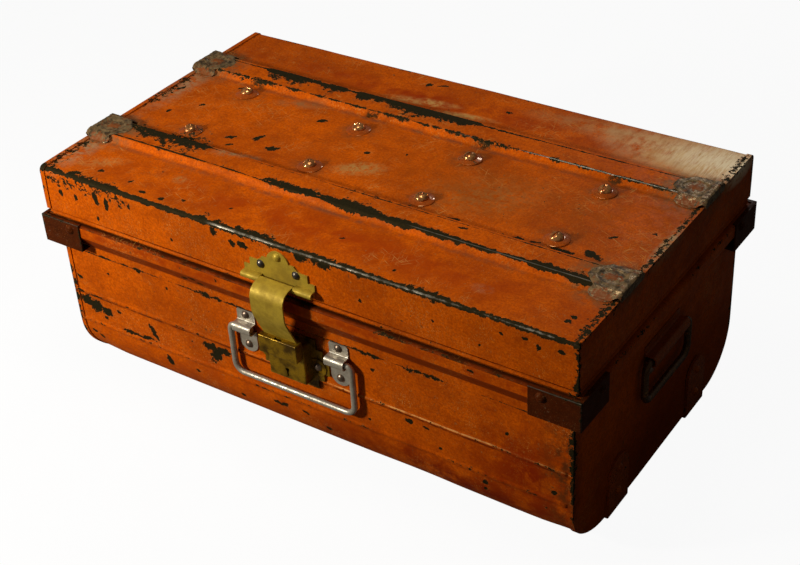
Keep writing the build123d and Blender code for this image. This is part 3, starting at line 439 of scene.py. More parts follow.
@dataclass(frozen=True)
class Enamel:
    """Old hand-brushed enamel on sheet steel, chipped to a black-green oxide.

    The middle is a point inside the piece, in metres: faces turned towards it are the inside, which is
    plain and dull. Without one, every face is outside.
    """

    name: str
    base: Colour = (0.68, 0.112, 0.0008)
    dark: Colour = (0.22, 0.027, 0.001)
    light: Colour = (0.86, 0.21, 0.004)
    bare: Colour = (0.0060, 0.0058, 0.0022)
    primer: Colour = (0.34, 0.17, 0.055)
    scraped: Colour = (0.62, 0.30, 0.075)
    rubbed: Colour = (0.21, 0.185, 0.150)
    edges: tuple[WornEdge, ...] = ()
    chips: tuple[Chip, ...] = ()
    colour_patches: tuple[ColourPatch, ...] = ()
    middle: Point | None = None
    inner: Colour = (0.36, 0.055, 0.002)
    scatter: float = 0.10
    grime: float = 0.22
    roughness: float = 0.40
    gloss: float = 0.035
    varnish: Colour = (1.0, 0.55, 0.22)
    oxide: Colour = (0.030, 0.022, 0.009)
    soot_and_shade: Colour = (0.20, 0.034, 0.004)
    dust: Colour = (0.48, 0.20, 0.06)

    def ragged(self, graph: Graph, place: bpy.types.NodeSocket) -> bpy.types.NodeSocket:
        """Return the threshold at which the enamel flakes off, in small angular pieces.

        Args:
            graph: The material's tree.
            place: The Object coordinates.

        Returns:
            A value between 0 and 1.
        """
        soft = graph.band(graph.noise(place, 210.0, 8.0, 0.72), 0.34, 0.66)
        flakes = graph.add("ShaderNodeTexVoronoi")
        graph.feed(flakes.inputs["Vector"], self.bend(graph, place, 320.0, 2.0 * MM))
        flakes.inputs["Scale"].default_value = 620.0
        cell = graph.split(flakes.outputs["Color"])[0]
        return graph.math("ADD", graph.math("MULTIPLY", soft, 0.66), graph.math("MULTIPLY", cell, 0.34))

    def bend(self, graph: Graph, place: bpy.types.NodeSocket, scale: float,
             amount: float) -> bpy.types.NodeSocket:
        """Push coordinates about with a noise.

        Args:
            graph: The material's tree.
            place: The coordinates.
            scale: Waves per metre.
            amount: How far they move from one side to the other, in metres.

        Returns:
            The bent coordinates.
        """
        wander = graph.add("ShaderNodeTexNoise")
        graph.feed(wander.inputs["Vector"], place)
        wander.inputs["Scale"].default_value = scale
        wander.inputs["Detail"].default_value = 3.0
        middle = graph.add("ShaderNodeVectorMath", operation="SUBTRACT")
        graph.feed(middle.inputs[0], wander.outputs["Color"])
        middle.inputs[1].default_value = (0.5, 0.5, 0.5)
        shift = graph.add("ShaderNodeVectorMath", operation="SCALE")
        graph.feed(shift.inputs[0], middle.outputs[0])
        shift.inputs["Scale"].default_value = amount
        bent = graph.add("ShaderNodeVectorMath", operation="ADD")
        graph.feed(bent.inputs[0], place)
        graph.feed(bent.inputs[1], shift.outputs[0])
        return bent.outputs[0]

    def outside(self, graph: Graph, place: bpy.types.NodeSocket) -> bpy.types.NodeSocket:
        """Return 1 on the faces turned away from the middle and 0 on those turned towards it.

        Args:
            graph: The material's tree.
            place: The Object coordinates.

        Returns:
            The share's socket.
        """
        arm = graph.add("ShaderNodeVectorMath", operation="SUBTRACT")
        graph.feed(arm.inputs[0], place)
        arm.inputs[1].default_value = self.middle
        facing = graph.add("ShaderNodeVectorMath", operation="DOT_PRODUCT")
        graph.feed(facing.inputs[0], arm.outputs[0])
        graph.feed(facing.inputs[1], graph.add("ShaderNodeTexCoord").outputs["Normal"])
        return graph.band(facing.outputs["Value"], -4.0 * MM, 0.0)

    def wear(self, graph: Graph, place: bpy.types.NodeSocket,
             ragged: bpy.types.NodeSocket) -> bpy.types.NodeSocket:
        """Return how far each point is worn past its own ragged threshold.

        Args:
            graph: The material's tree.
            place: The Object coordinates.
            ragged: A noise between 0 and 1.

        Returns:
            A signed value, above 0 where the enamel is gone.
        """
        parts = graph.split(place)
        clusters = graph.noise(place, 14.0, 3.0, 0.5)
        spread = graph.band(clusters, 0.52, 0.70, 0.02, self.scatter)
        exposures = [spread]
        uneven = graph.band(graph.noise(place, 34.0, 4.0, 0.6), 0.34, 0.66, 0.25, 1.35)
        exposures += [edge.exposure(graph, parts, uneven) for edge in self.edges]
        bent = self.bend(graph, self.bend(graph, place, 110.0, 6.0 * MM), 420.0, 2.2 * MM)
        exposures += [chip.exposure(graph, bent) for chip in self.chips]
        return graph.math("SUBTRACT", graph.largest(exposures), ragged)

    def paint(self, graph: Graph, place: bpy.types.NodeSocket) -> bpy.types.NodeSocket:
        """Return the enamel's own colour, with brush marks, fading and grime.

        Args:
            graph: The material's tree.
            place: The Object coordinates.

        Returns:
            The colour's socket.
        """
        broad = graph.band(graph.noise(place, 16.0, 5.0, 0.6), 0.40, 0.66)
        brushed = graph.band(graph.noise(graph.stretch(place, (0.16, 1.0, 1.0)), 380.0, 3.0), 0.42, 0.72)
        fine = graph.band(graph.noise(place, 540.0, 7.0, 0.80), 0.38, 0.66)
        faded = graph.band(graph.noise(place, 360.0, 6.0, 0.78), 0.54, 0.72)
        patches = graph.band(graph.noise(place, 90.0, 6.0, 0.68, 0.5), 0.46, 0.66)
        colour = graph.mix(graph.math("MULTIPLY", broad, 0.42), self.base, self.dark)
        colour = graph.mix(graph.math("MULTIPLY", brushed, 0.14), colour, self.dark)
        colour = graph.mix(graph.math("MULTIPLY", patches, 0.30), colour, self.dark)
        colour = graph.mix(graph.math("MULTIPLY", fine, 0.62), colour, self.dark)
        colour = graph.mix(graph.math("MULTIPLY", faded, 0.50), colour, self.light)
        upward = graph.split(graph.add("ShaderNodeTexCoord").outputs["Normal"])[2]
        flat = graph.math("MULTIPLY", graph.band(upward, 0.4, 0.95), self.grime)
        dusty = graph.band(graph.noise(place, 45.0, 6.0, 0.7), 0.30, 0.62)
        colour = graph.mix(graph.math("MULTIPLY", flat, dusty), colour, self.soot_and_shade)
        dust = graph.band(graph.noise(place, 1500.0, 2.0, 0.5), 0.64, 0.72)
        where = graph.band(graph.noise(place, 30.0, 3.0), 0.42, 0.62, 0.15, 0.75)
        return graph.mix(graph.math("MULTIPLY", dust, where), colour, self.dust)

    def scratches(self, graph: Graph, place: bpy.types.NodeSocket) -> bpy.types.NodeSocket:
        """Return 1 on fine scratches that run several ways.

        Args:
            graph: The material's tree.
            place: The Object coordinates.

        Returns:
            The share's socket.
        """
        lines = []
        for turn, seed in ((0.45, 1.0), (1.25, 2.3), (-0.75, 4.1), (1.9, 7.7)):
            turned = graph.stretch(place, (1.0, 1.0, 1.0), (0.0, 0.0, turn))
            drawn = graph.stretch(turned, (70.0, 1500.0, 700.0), shift=(seed, seed, seed))
            lines.append(graph.band(graph.noise(drawn, 1.0, 1.0, 0.4), 0.66, 0.74))
        where = graph.band(graph.noise(place, 26.0, 4.0, 0.7), 0.46, 0.66)
        return graph.math("MULTIPLY", graph.largest(lines), where)

    def with_patches(self, graph: Graph, place: bpy.types.NodeSocket, colour: bpy.types.NodeSocket,
                outside: object) -> bpy.types.NodeSocket:
        """Lay the colour patches over a colour, and the plain finish over the inside.

        Args:
            graph: The material's tree.
            place: The Object coordinates.
            colour: The colour below.
            outside: 1 on the outside and 0 on the inside.

        Returns:
            The colour's socket.
        """
        for patch in self.colour_patches:
            node = Chip(patch.place, patch.radii, patch.turn, PATCH_DEPTH).exposure(graph, place)
            if patch.grain > 0:
                drawn = graph.noise(graph.stretch(place, patch.streak), patch.grain, 6.0, 0.7)
                node = graph.math("MULTIPLY", node, graph.band(drawn, 0.36, 0.60))
            share = graph.math("MULTIPLY", node, patch.strength, clamp=True)
            colour = graph.mix(share, colour, patch.colour)
        if self.middle is None:
            return colour
        soft = graph.band(graph.noise(place, 24.0, 5.0, 0.65), 0.3, 0.7, 0.55, 1.0)
        plain = graph.math("MULTIPLY", graph.math("SUBTRACT", 1.0, outside), soft)
        return graph.mix(plain, colour, self.inner)

    def relief(self, graph: Graph, place: bpy.types.NodeSocket, gone: bpy.types.NodeSocket) -> bpy.types.NodeSocket:
        """Return the normal bent by brush marks, by waves in the sheet and by the step down into a chip.

        Args:
            graph: The material's tree.
            place: The Object coordinates.
            gone: 1 where the enamel is gone.

        Returns:
            The normal's socket.
        """
        peel = graph.bump(graph.noise(graph.stretch(place, (0.3, 1.0, 1.0)), 520.0, 3.0), 0.05 * MM, 0.7)
        waves = graph.bump(graph.noise(place, 60.0, 3.0), 0.25 * MM, 0.6, peel)
        return graph.bump(graph.math("SUBTRACT", 1.0, gone), 0.14 * MM, 1.0, waves)

    def make(self) -> bpy.types.Material:
        """Build the material."""
        graph = Graph(self.name)
        place = graph.place()
        ragged = self.ragged(graph, place)
        worn = self.wear(graph, place, ragged)
        gone = graph.band(worn, 0.0, 0.04)
        rim = graph.band(worn, -0.09, 0.0)
        outside: object = 1.0
        if self.middle is not None:
            outside = self.outside(graph, place)
            gone = graph.math("MULTIPLY", gone, outside)
            rim = graph.math("MULTIPLY", rim, outside)
        colour = self.with_patches(graph, place, self.paint(graph, place), outside)
        scratched = self.scratches(graph, place)
        colour = graph.mix(graph.math("MULTIPLY", scratched, 0.50), colour, self.scraped)
        colour = graph.mix(graph.math("MULTIPLY", rim, 0.38), colour, self.primer)
        oxide = graph.mix(graph.noise(place, 700.0, 4.0), self.bare, self.oxide)
        colour = graph.mix(gone, colour, oxide)
        rough = graph.band(graph.noise(place, 130.0, 4.0), 0.3, 0.7, self.roughness - 0.07, self.roughness + 0.10)
        rough = graph.math("ADD", rough, graph.math("MULTIPLY", gone, 0.12))
        metallic: object = 0.0
        bright = [edge.metal(graph, graph.split(place), ragged) for edge in self.edges if edge.bright]
        if bright:
            worn_thin = graph.band(graph.noise(place, 42.0, 5.0, 0.7), 0.40, 0.60, 0.25, 1.0)
            metallic = graph.math("MULTIPLY", graph.math("MULTIPLY", graph.largest(bright), worn_thin), outside)
            colour = graph.mix(metallic, colour, self.rubbed)
            rough = graph.math("SUBTRACT", rough, graph.math("MULTIPLY", metallic, 0.06))
        return graph.surface(colour, rough, metallic, self.relief(graph, place, gone),
                             Specular_IOR_Level=self.gloss, Specular_Tint=(*self.varnish, 1.0))


@dataclass(frozen=True)
class OldMetal:
    """Bare or plated metal with tarnish, rust and rubbed high spots."""

    name: str
    base: Colour
    tarnish: Colour
    rust: Colour = (0.075, 0.022, 0.008)
    tarnish_share: float = 0.55
    rust_share: float = 0.30
    grain: float = 90.0
    roughness: float = 0.38
    metallic: float = 0.9
    pits: float = 0.08 * MM
    rust_spots: tuple[Chip, ...] = ()
    gloss: float = 0.5

    def make(self) -> bpy.types.Material:
        """Build the material."""
        graph = Graph(self.name)
        place = graph.place()
        mottle = graph.noise(place, self.grain, 6.0, 0.68)
        dull = graph.math("MULTIPLY", graph.band(mottle, 0.38, 0.64), self.tarnish_share)
        colour = graph.mix(dull, self.base, self.tarnish)
        patches = graph.noise(place, self.grain * 0.6, 8.0, 0.75, 0.4)
        rusty = graph.band(patches, 0.52, 0.66)
        if self.rust_spots:
            ragged = graph.band(graph.noise(place, 400.0, 5.0, 0.6), 0.3, 0.7)
            spots = graph.largest([spot.exposure(graph, place) for spot in self.rust_spots])
            rusty = graph.math("MAXIMUM", rusty, graph.band(graph.math("SUBTRACT", spots, ragged), -0.2, 0.1))
        rusty = graph.math("MULTIPLY", rusty, graph.math("MULTIPLY_ADD", graph.noise(place, 520.0, 4.0), 1.4, 0.2))
        rusty = graph.math("MULTIPLY", rusty, self.rust_share, clamp=True)
        colour = graph.mix(rusty, colour, self.rust)
        speck = graph.band(graph.noise(place, 1400.0, 3.0, 0.6), 0.62, 0.75)
        colour = graph.mix(graph.math("MULTIPLY", speck, 0.5), colour, self.tarnish)
        rough = graph.band(mottle, 0.3, 0.7, self.roughness - 0.10, self.roughness + 0.16)
        rough = graph.math("ADD", rough, graph.math("MULTIPLY", rusty, 0.30), clamp=True)
        less = graph.math("MULTIPLY", rusty, -self.metallic * 0.9)
        metallic = graph.math("ADD", less, self.metallic, clamp=True)
        fine = graph.bump(graph.noise(place, 1100.0, 3.0), 0.02 * MM, 0.6)
        pitted = graph.bump(graph.noise(place, 260.0, 5.0, 0.7), self.pits, 0.8, fine)
        return graph.surface(colour, rough, metallic, pitted, Specular_IOR_Level=self.gloss)


def chips_on_top(rows: tuple[tuple[float, ...], ...], level: float) -> tuple[Chip, ...]:
    """Make chips on a level surface from rows of millimetres.

    Args:
        rows: X, Y, half length, half width and turn in degrees.
        level: The surface's height in millimetres.

    Returns:
        The chips.
    """
    return tuple(
        Chip(millimetres(x, y, level), millimetres(CHIP_GROWTH * a, CHIP_GROWTH * b, CHIP_REACH),
             (0.0, 0.0, math.radians(turn)), CHIP_DEPTH)
        for x, y, a, b, turn in rows
    )


def chips_on_front(rows: tuple[tuple[float, ...], ...], wall: float) -> tuple[Chip, ...]:
    """Make chips on a front wall from rows of millimetres.

    Args:
        rows: X, Z, half length, half height and turn in degrees.
        wall: The wall's Y in millimetres.

    Returns:
        The chips.
    """
    return tuple(
        Chip(millimetres(x, wall, z), millimetres(CHIP_GROWTH * a, CHIP_REACH, CHIP_GROWTH * b),
             (0.0, -math.radians(turn), 0.0), CHIP_DEPTH)
        for x, z, a, b, turn in rows
    )


class SheetShaper:
    """Turns a packed sheet piece into a finer mesh that is a little out of true, as old tinware is."""

    def __init__(self, dents: tuple[tuple[Point, float, Point], ...] = (), height: float = 0.32,
                 step: float = 7.0) -> None:
        """Keep the shaper's sizes.

        Args:
            dents: Each dent's place, reach and push, in millimetres.
            height: How far the sheet wanders from true, in millimetres.
            step: The spacing of the finer mesh, in millimetres.
        """
        self.dents = [(Vector(place) * MM, reach * MM, Vector(push) * MM) for place, reach, push in dents]
        self.height = height * MM
        self.step = step * MM

    def moved(self, point: Vector) -> Vector:
        """Return where a point of the true sheet lies on the worn one.

        Args:
            point: The point, in metres.

        Returns:
            The moved point.
        """
        slow = noise.noise_vector(point * 13.0 + Vector((3.1, 7.7, 1.9)))
        fast = noise.noise_vector(point * 45.0 + Vector((9.3, 2.2, 5.4)))
        shift = slow * self.height + fast * self.height * 0.30
        for place, reach, push in self.dents:
            share = (point - place).length / reach
            if share < 1.0:
                shift = shift + push * (1.0 - share * share) ** 2
        return point + shift

    def refine(self, mesh: bmesh.types.BMesh) -> None:
        """Cut the mesh by evenly spaced planes square to each axis, so that it can bend.

        Args:
            mesh: The mesh, which is changed.
        """
        for axis in range(3):
            places = [vertex.co[axis] for vertex in mesh.verts]
            low, high = min(places), max(places)
            count = int((high - low) / self.step)
            for index in range(count):
                plane = Vector((0, 0, 0))
                plane[axis] = low + (high - low) * (index + 1) / (count + 1)
                normal = Vector((0, 0, 0))
                normal[axis] = 1.0
                everything = mesh.verts[:] + mesh.edges[:] + mesh.faces[:]
                bmesh.ops.bisect_plane(mesh, geom=everything, dist=0.0005 * MM, plane_co=plane, plane_no=normal)
        bmesh.ops.triangulate(mesh, faces=[face for face in mesh.faces if len(face.verts) > 3])

    def shape(self, node: str, name: str, body: str, material: bpy.types.Material) -> bpy.types.Object:
        """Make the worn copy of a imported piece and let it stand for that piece.

        Args:
            node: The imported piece.
            name: The new piece's name.
            body: The body that the piece rides on.
            material: The finish.

        Returns:
            The new piece.
        """
        mesh = bmesh.new()
        mesh.from_mesh(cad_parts[node].data)
        bmesh.ops.remove_doubles(mesh, verts=mesh.verts, dist=0.002 * MM)
        self.refine(mesh)
        for vertex in mesh.verts:
            vertex.co = self.moved(vertex.co)
        data = bpy.data.meshes.new(name)
        mesh.to_mesh(data)
        mesh.free()
        data.shade_smooth()
        data.set_sharp_from_angle(angle=math.radians(CREASE))
        data.materials.append(material)
        piece = bpy.data.objects.new(name, data)
        bpy.context.scene.collection.objects.link(piece)
        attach(piece, body)
        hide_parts(node)
        log.info("%s: %d faces", name, len(data.polygons))
        return piece


def piece_from(mesh: bpy.types.Mesh, name: str, body: str, material: bpy.types.Material,
               *nodes: str) -> bpy.types.Object:
    """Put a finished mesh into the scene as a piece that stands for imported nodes.

    Args:
        mesh: The piece's mesh, with its place in it.
        name: The piece's name.
        body: The body that it rides on.
        material: The finish.
        nodes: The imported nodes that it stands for.

    Returns:
        The piece.
    """
    mesh.name = name
    mesh.materials.clear()
    mesh.materials.append(material)
    piece = bpy.data.objects.new(name, mesh)
    bpy.context.scene.collection.objects.link(piece)
    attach(piece, body)
    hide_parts(*nodes)
    log.info("%s: %d faces", name, len(mesh.polygons))
    return piece


def turned_mesh(name: str, profile: tuple[tuple[float, float], ...], segments: int,
                uneven: float) -> bmesh.types.BMesh:
    """Revolve a profile about Z, with small lumps.

    Args:
        name: A word that picks the lumps.
        profile: Radius and height pairs in millimetres; a radius of 0 closes the shape.
        segments: The number of steps round.
        uneven: The height of the lumps in millimetres.

    Returns:
        The mesh, in metres.
    """
    mesh = bmesh.new()
    rings = []
    offset = Vector((float(len(name)), 3.0, 7.0))
    for radius, height in profile:
        steps = segments if radius > 0 else 1
        ring = []
        for index in range(steps):
            angle = math.tau * index / segments
            point = Vector((radius * math.cos(angle), radius * math.sin(angle), height))
            point += noise.noise_vector(point * 0.35 + offset) * uneven
            ring.append(mesh.verts.new(point * MM))
        rings.append(ring)
    for lower, upper in zip(rings, rings[1:]):
        for index in range(segments):
            following = (index + 1) % segments
            corners = [lower[index % len(lower)], lower[following % len(lower)],
                       upper[following % len(upper)], upper[index % len(upper)]]
            mesh.faces.new(list(dict.fromkeys(corners)))
    bmesh.ops.recalc_face_normals(mesh, faces=mesh.faces)
    return mesh


class StudField:
    """Geometry Nodes that stand one shape on every point, each with its own turn, lean and size."""

    def __init__(self) -> None:
        """Build the tree."""
        self.tree = bpy.data.node_groups.new("stud_field", "GeometryNodeTree")
        self.sockets: dict[str, str] = {}
        face = self.tree.interface
        face.new_socket("Geometry", in_out="INPUT", socket_type="NodeSocketGeometry")
        for name, kind in (("Stud", "Object"), ("Turn", "Float"), ("Lean", "Float"), ("Uneven", "Float"),
                           ("Seed", "Int"), ("Finish", "Material")):
            socket = face.new_socket(name, in_out="INPUT", socket_type=f"NodeSocket{kind}")
            self.sockets[name] = socket.identifier
        face.new_socket("Geometry", in_out="OUTPUT", socket_type="NodeSocketGeometry")
        self.wire()

    def wire(self) -> None:
        """Add the nodes and their links."""
        nodes, link = self.tree.nodes, self.tree.links.new
        given = nodes.new("NodeGroupInput")
        outward = nodes.new("GeometryNodeInputNamedAttribute")
        outward.data_type = "FLOAT_VECTOR"
        outward.inputs["Name"].default_value = "outward"
        aim = nodes.new("FunctionNodeAlignRotationToVector")
        aim.axis = "Z"
        link(outward.outputs["Attribute"], aim.inputs["Vector"])
        limits = nodes.new("ShaderNodeCombineXYZ")
        link(given.outputs["Lean"], limits.inputs[0])
        link(given.outputs["Lean"], limits.inputs[1])
        link(given.outputs["Turn"], limits.inputs[2])
        lowest = nodes.new("ShaderNodeVectorMath")
        lowest.operation = "SCALE"
        lowest.inputs["Scale"].default_value = -1.0
        link(limits.outputs[0], lowest.inputs[0])
        chance = nodes.new("FunctionNodeRandomValue")
        chance.data_type = "FLOAT_VECTOR"
        link(lowest.outputs[0], chance.inputs["Min"])
        link(limits.outputs[0], chance.inputs["Max"])
        link(given.outputs["Seed"], chance.inputs["Seed"])
        spin = nodes.new("FunctionNodeEulerToRotation")
        link(chance.outputs[0], spin.inputs[0])
        turn = nodes.new("FunctionNodeRotateRotation")
        turn.rotation_space = "LOCAL"
        link(aim.outputs[0], turn.inputs["Rotation"])
        link(spin.outputs[0], turn.inputs["Rotate By"])
        size = nodes.new("FunctionNodeRandomValue")
        size.data_type = "FLOAT"
        smallest = nodes.new("ShaderNodeMath")
        smallest.operation = "SUBTRACT"
        smallest.inputs[0].default_value = 1.0
        link(given.outputs["Uneven"], smallest.inputs[1])
        sizes = [socket for socket in size.inputs if socket.name in ("Min", "Max") and socket.type == "VALUE"]
        floats = [socket for socket in sizes if socket.enabled]
        link(smallest.outputs[0], floats[0])
        floats[1].default_value = 1.0
        link(given.outputs["Seed"], size.inputs["Seed"])
        stud = nodes.new("GeometryNodeObjectInfo")
        link(given.outputs["Stud"], stud.inputs["Object"])
        spread = nodes.new("GeometryNodeInstanceOnPoints")
        link(given.outputs["Geometry"], spread.inputs["Points"])
        link(stud.outputs["Geometry"], spread.inputs["Instance"])
        link(turn.outputs[0], spread.inputs["Rotation"])
        link(next(socket for socket in size.outputs if socket.enabled), spread.inputs["Scale"])
        real = nodes.new("GeometryNodeRealizeInstances")
        link(spread.outputs[0], real.inputs[0])
        finish = nodes.new("GeometryNodeSetMaterial")
        link(real.outputs[0], finish.inputs["Geometry"])
        link(given.outputs["Finish"], finish.inputs["Material"])
        result = nodes.new("NodeGroupOutput")
        link(finish.outputs[0], result.inputs[0])

    def plant(self, stud: bmesh.types.BMesh, points: list[tuple[Vector, Vector]], material: bpy.types.Material,
              turn: float, lean: float, uneven: float, seed: int) -> bpy.types.Mesh:
        """Stand the shape on every point and return the plain mesh.

        Args:
            stud: The shape, standing on the XY plane; it is used up.
            points: Each point and its outward direction.
            material: The finish.
            turn: The most that a stud turns about its axis, in radians.
            lean: The most that it leans, in radians.
            uneven: How much smaller the smallest is, as a share.
            seed: Picks the random values.

        Returns:
            The mesh with every stud.
        """
        shape = bpy.data.meshes.new("stud_shape")
        stud.to_mesh(shape)
        stud.free()
        shape.shade_smooth()
        shape.set_sharp_from_angle(angle=math.radians(40.0))
        model = bpy.data.objects.new("stud_shape", shape)
        spots = bpy.data.meshes.new("stud_points")
        spots.from_pydata([place for place, _ in points], [], [])
        outward = spots.attributes.new("outward", "FLOAT_VECTOR", "POINT")
        for index, (_, direction) in enumerate(points):
            outward.data[index].vector = direction
        holder = bpy.data.objects.new("stud_points", spots)
        scene = bpy.context.scene.collection
        scene.objects.link(model)
        scene.objects.link(holder)
        modifier = holder.modifiers.new("studs", "NODES")
        modifier.node_group = self.tree
        values = {"Stud": model, "Turn": turn, "Lean": lean, "Uneven": uneven, "Seed": seed, "Finish": material}
        for name, value in values.items():
            modifier[self.sockets[name]] = value
        graph = bpy.context.evaluated_depsgraph_get()
        mesh = bpy.data.meshes.new_from_object(holder.evaluated_get(graph))
        holder.modifiers.remove(modifier)
        bpy.data.objects.remove(holder)
        bpy.data.objects.remove(model)
        return mesh


def dress(material: bpy.types.Material, *nodes: str) -> None:
    """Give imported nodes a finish.

    Args:
        material: The finish.
        nodes: The nodes' names.
    """
    for node in nodes:
        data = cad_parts[node].data
        for index in range(len(data.materials)):
            data.materials[index] = material
        log.info("%s: %s", node, material.name)


SIDES = ("left", "right")
CORNERS = ("front_left", "front_right", "back_left", "back_right")
EVERYWHERE = ((-0.30, 0.30),)
BOLTS = ((-159, -30.75), (-46, -30.75), (51, -30.75), (157, -30.75),
         (-159, 38.25), (-46, 31.25), (51, 33.25), (157, 38.25))
BATTEN_ENDS = (-160, -49, 50, 157)
CREASE = 28.0


@dataclass(frozen=True)
class Lid:
    """The lid: its sheet with two ribs, its ends, rolled hem, rib caps, bolts and inner battens."""

    top: float = 185.1
    rib_top: float = 189.6
    front: float = -126.25
    back: float = 134.75
    half_length: float = 225.0
    rib_centres: tuple[float, float] = (-58.25, 66.75)
    rib_half_top: float = 10.75
    hem: float = 144.6

    def edges(self) -> tuple[WornEdge, ...]:
        """Return the lid's worn edges."""
        front_rib, back_rib = self.rib_centres
        half = self.rib_half_top
        near = millimetres
        front_bright = (millimetres(-60, 216),)
        return (
            WornEdge(Axis.X, near(0, self.front + 0.6, self.top - 0.4), 3.5 * MM, 1.7, steady=True,
                     bright=front_bright, bright_reach=1.25 * MM),
            WornEdge(Axis.X, near(0, self.front + 2.0, self.top), 6.5 * MM, 1.05, 0.30,
                     (near(-222, -150), near(-75, 70), near(95, 130))),
            WornEdge(Axis.X, near(0, self.front + 1, self.top - 8), 11 * MM, 0.50, 0.05,
                     (near(-215, -140),)),
            WornEdge(Axis.X, near(0, front_rib - half + 1.5, self.rib_top), 5.6 * MM, 1.25, 0.28,
                     (near(-70, 210),)),
            WornEdge(Axis.X, near(0, front_rib - half + 0.8, self.rib_top), 4.4 * MM, 1.7, 0.10,
                     (near(-40, 206),), (near(70, 205),), 0.5 * MM),
            WornEdge(Axis.X, near(0, front_rib - half + 4, self.rib_top), 7.5 * MM, 1.15, 0.02,
                     (near(-62, 34),)),
            WornEdge(Axis.X, near(0, front_rib + half - 2, self.rib_top), 19.0 * MM, 0.95, 0.04,
                     (near(-203, -128),)),
            WornEdge(Axis.X, near(0, front_rib + half + 4, self.rib_top), 9.0 * MM, 0.55, 0.20,
                     (near(-10, 60),)),
            WornEdge(Axis.X, near(0, back_rib - half, self.rib_top), 3.5 * MM, 0.85, 0.9,
                     (), (near(30, 205),), 0.7 * MM),
            WornEdge(Axis.X, near(0, back_rib + half - 3, self.rib_top), 15.0 * MM, 1.20, 0.10,
                     (near(-160, -90), near(-76, 30))),
            WornEdge(Axis.X, near(0, self.back - 0.8, self.top - 0.8), 4.0 * MM, 0.70),
            WornEdge(Axis.Y, near(-self.half_length + 5, 0, self.top), 9.0 * MM, 0.60, 0.10,
                     (near(-120, -80), near(-10, 40))),
            WornEdge(Axis.Y, near(self.half_length - 3, 0, self.top), 8.0 * MM, 0.74, 0.6,
                     (near(-125, -75),), (near(92, 134),), 0.9 * MM),
            WornEdge(Axis.X, near(0, self.front, self.hem), 3.2 * MM, 0.55),
            WornEdge(Axis.X, near(0, self.back, self.hem), 3.2 * MM, 0.55),
            WornEdge(Axis.Z, near(-self.half_length, self.front, 0), 4.0 * MM, 0.50),
            WornEdge(Axis.Z, near(self.half_length, self.front, 0), 5.0 * MM, 0.85),
            WornEdge(Axis.Z, near(-self.half_length, self.back, 0), 4.0 * MM, 0.50),
            WornEdge(Axis.Z, near(self.half_length, self.back, 0), 5.0 * MM, 0.75),
        )

    def chips(self) -> tuple[Chip, ...]:
        """Return the lid's single chips."""
        on_top = (
            (-126, -23, 3.6, 1.9, 36), (-119, -33, 3.4, 1.3, 36), (-107, -14, 5.0, 2.0, 72),
            (-87, -23, 5.6, 2.8, 20), (-180, 7, 2.4, 1.4, 30), (-197, -12, 2.6, 1.3, 80),
            (-79, 31, 4.0, 2.0, 40), (77, -43, 8.5, 1.6, 12), (99, -54, 3.0, 1.2, 10),
            (121, -43, 3.0, 1.2, 10), (133, -41, 5.0, 1.4, 10), (146, -40, 3.6, 1.0, 8),
            (165, -40, 9.0, 2.2, 2), (186, -36, 8.0, 3.0, -25), (-39, 119, 2.2, 1.4, 30),
            (-28, 122, 4.0, 1.4, 30), (-20, 6, 2.2, 1.6, 20), (6, 17, 1.2, 0.9, 0),
            (-180, -108, 2.2, 1.4, 30), (-149, -110, 2.4, 1.6, 30), (188, -11, 4.0, 1.2, 40),
            (207, -108, 2.2, 1.8, 0), (209, -102, 2.4, 1.8, 0), (210, 6, 2.2, 1.4, 30),
            (-168, 45, 3.0, 1.6, 30), (-214, 22, 4.0, 1.6, 60), (40, 108, 2.4, 1.0, 20),
            (-195, -120, 6.5, 2.6, 24), (-131, -117, 3.0, 1.3, 10), (-112, -118, 2.6, 1.6, 20),
            (-96, -112, 1.8, 0.9, 0), (-60, -104, 1.6, 0.9, 30), (30, -98, 2.0, 0.7, 20), (84, -112, 1.6, 1.0, 0),
        )
        on_front = (
            (-208, 168, 2.2, 2.4, 60), (-192, 168, 1.4, 2.2, 0), (-171, 173, 2.4, 4.0, 10),
            (-161, 172, 1.4, 4.6, 0), (-138, 176, 1.6, 2.2, 0), (-70, 186, 6.0, 2.4, 0),
            (-59, 179, 2.4, 3.4, 40), (-43.5, 174.3, 3.6, 1.6, -12), (-34, 175.7, 3.6, 1.8, -12),
            (-172, 156, 1.6, 1.2, 0), (63.6, 162.5, 1.4, 1.2, 0), (170.7, 173.8, 1.4, 1.2, 0),
            (187, 175.9, 2.2, 1.3, 30), (197.4, 172.9, 1.5, 1.8, 0), (213, 175.8, 2.2, 1.4, 0),
            (120, 166, 1.0, 1.2, 0), (-100, 160, 1.2, 1.0, 0), (16, 181, 5.0, 2.6, -10),
            (36, 181, 5.0, 2.4, -10), (154, 160, 1.2, 1.0, 0), (-12, 163, 1.2, 1.4, 20),
        )
        return chips_on_top(on_top, self.top + 2.0) + chips_on_front(on_front, self.front)

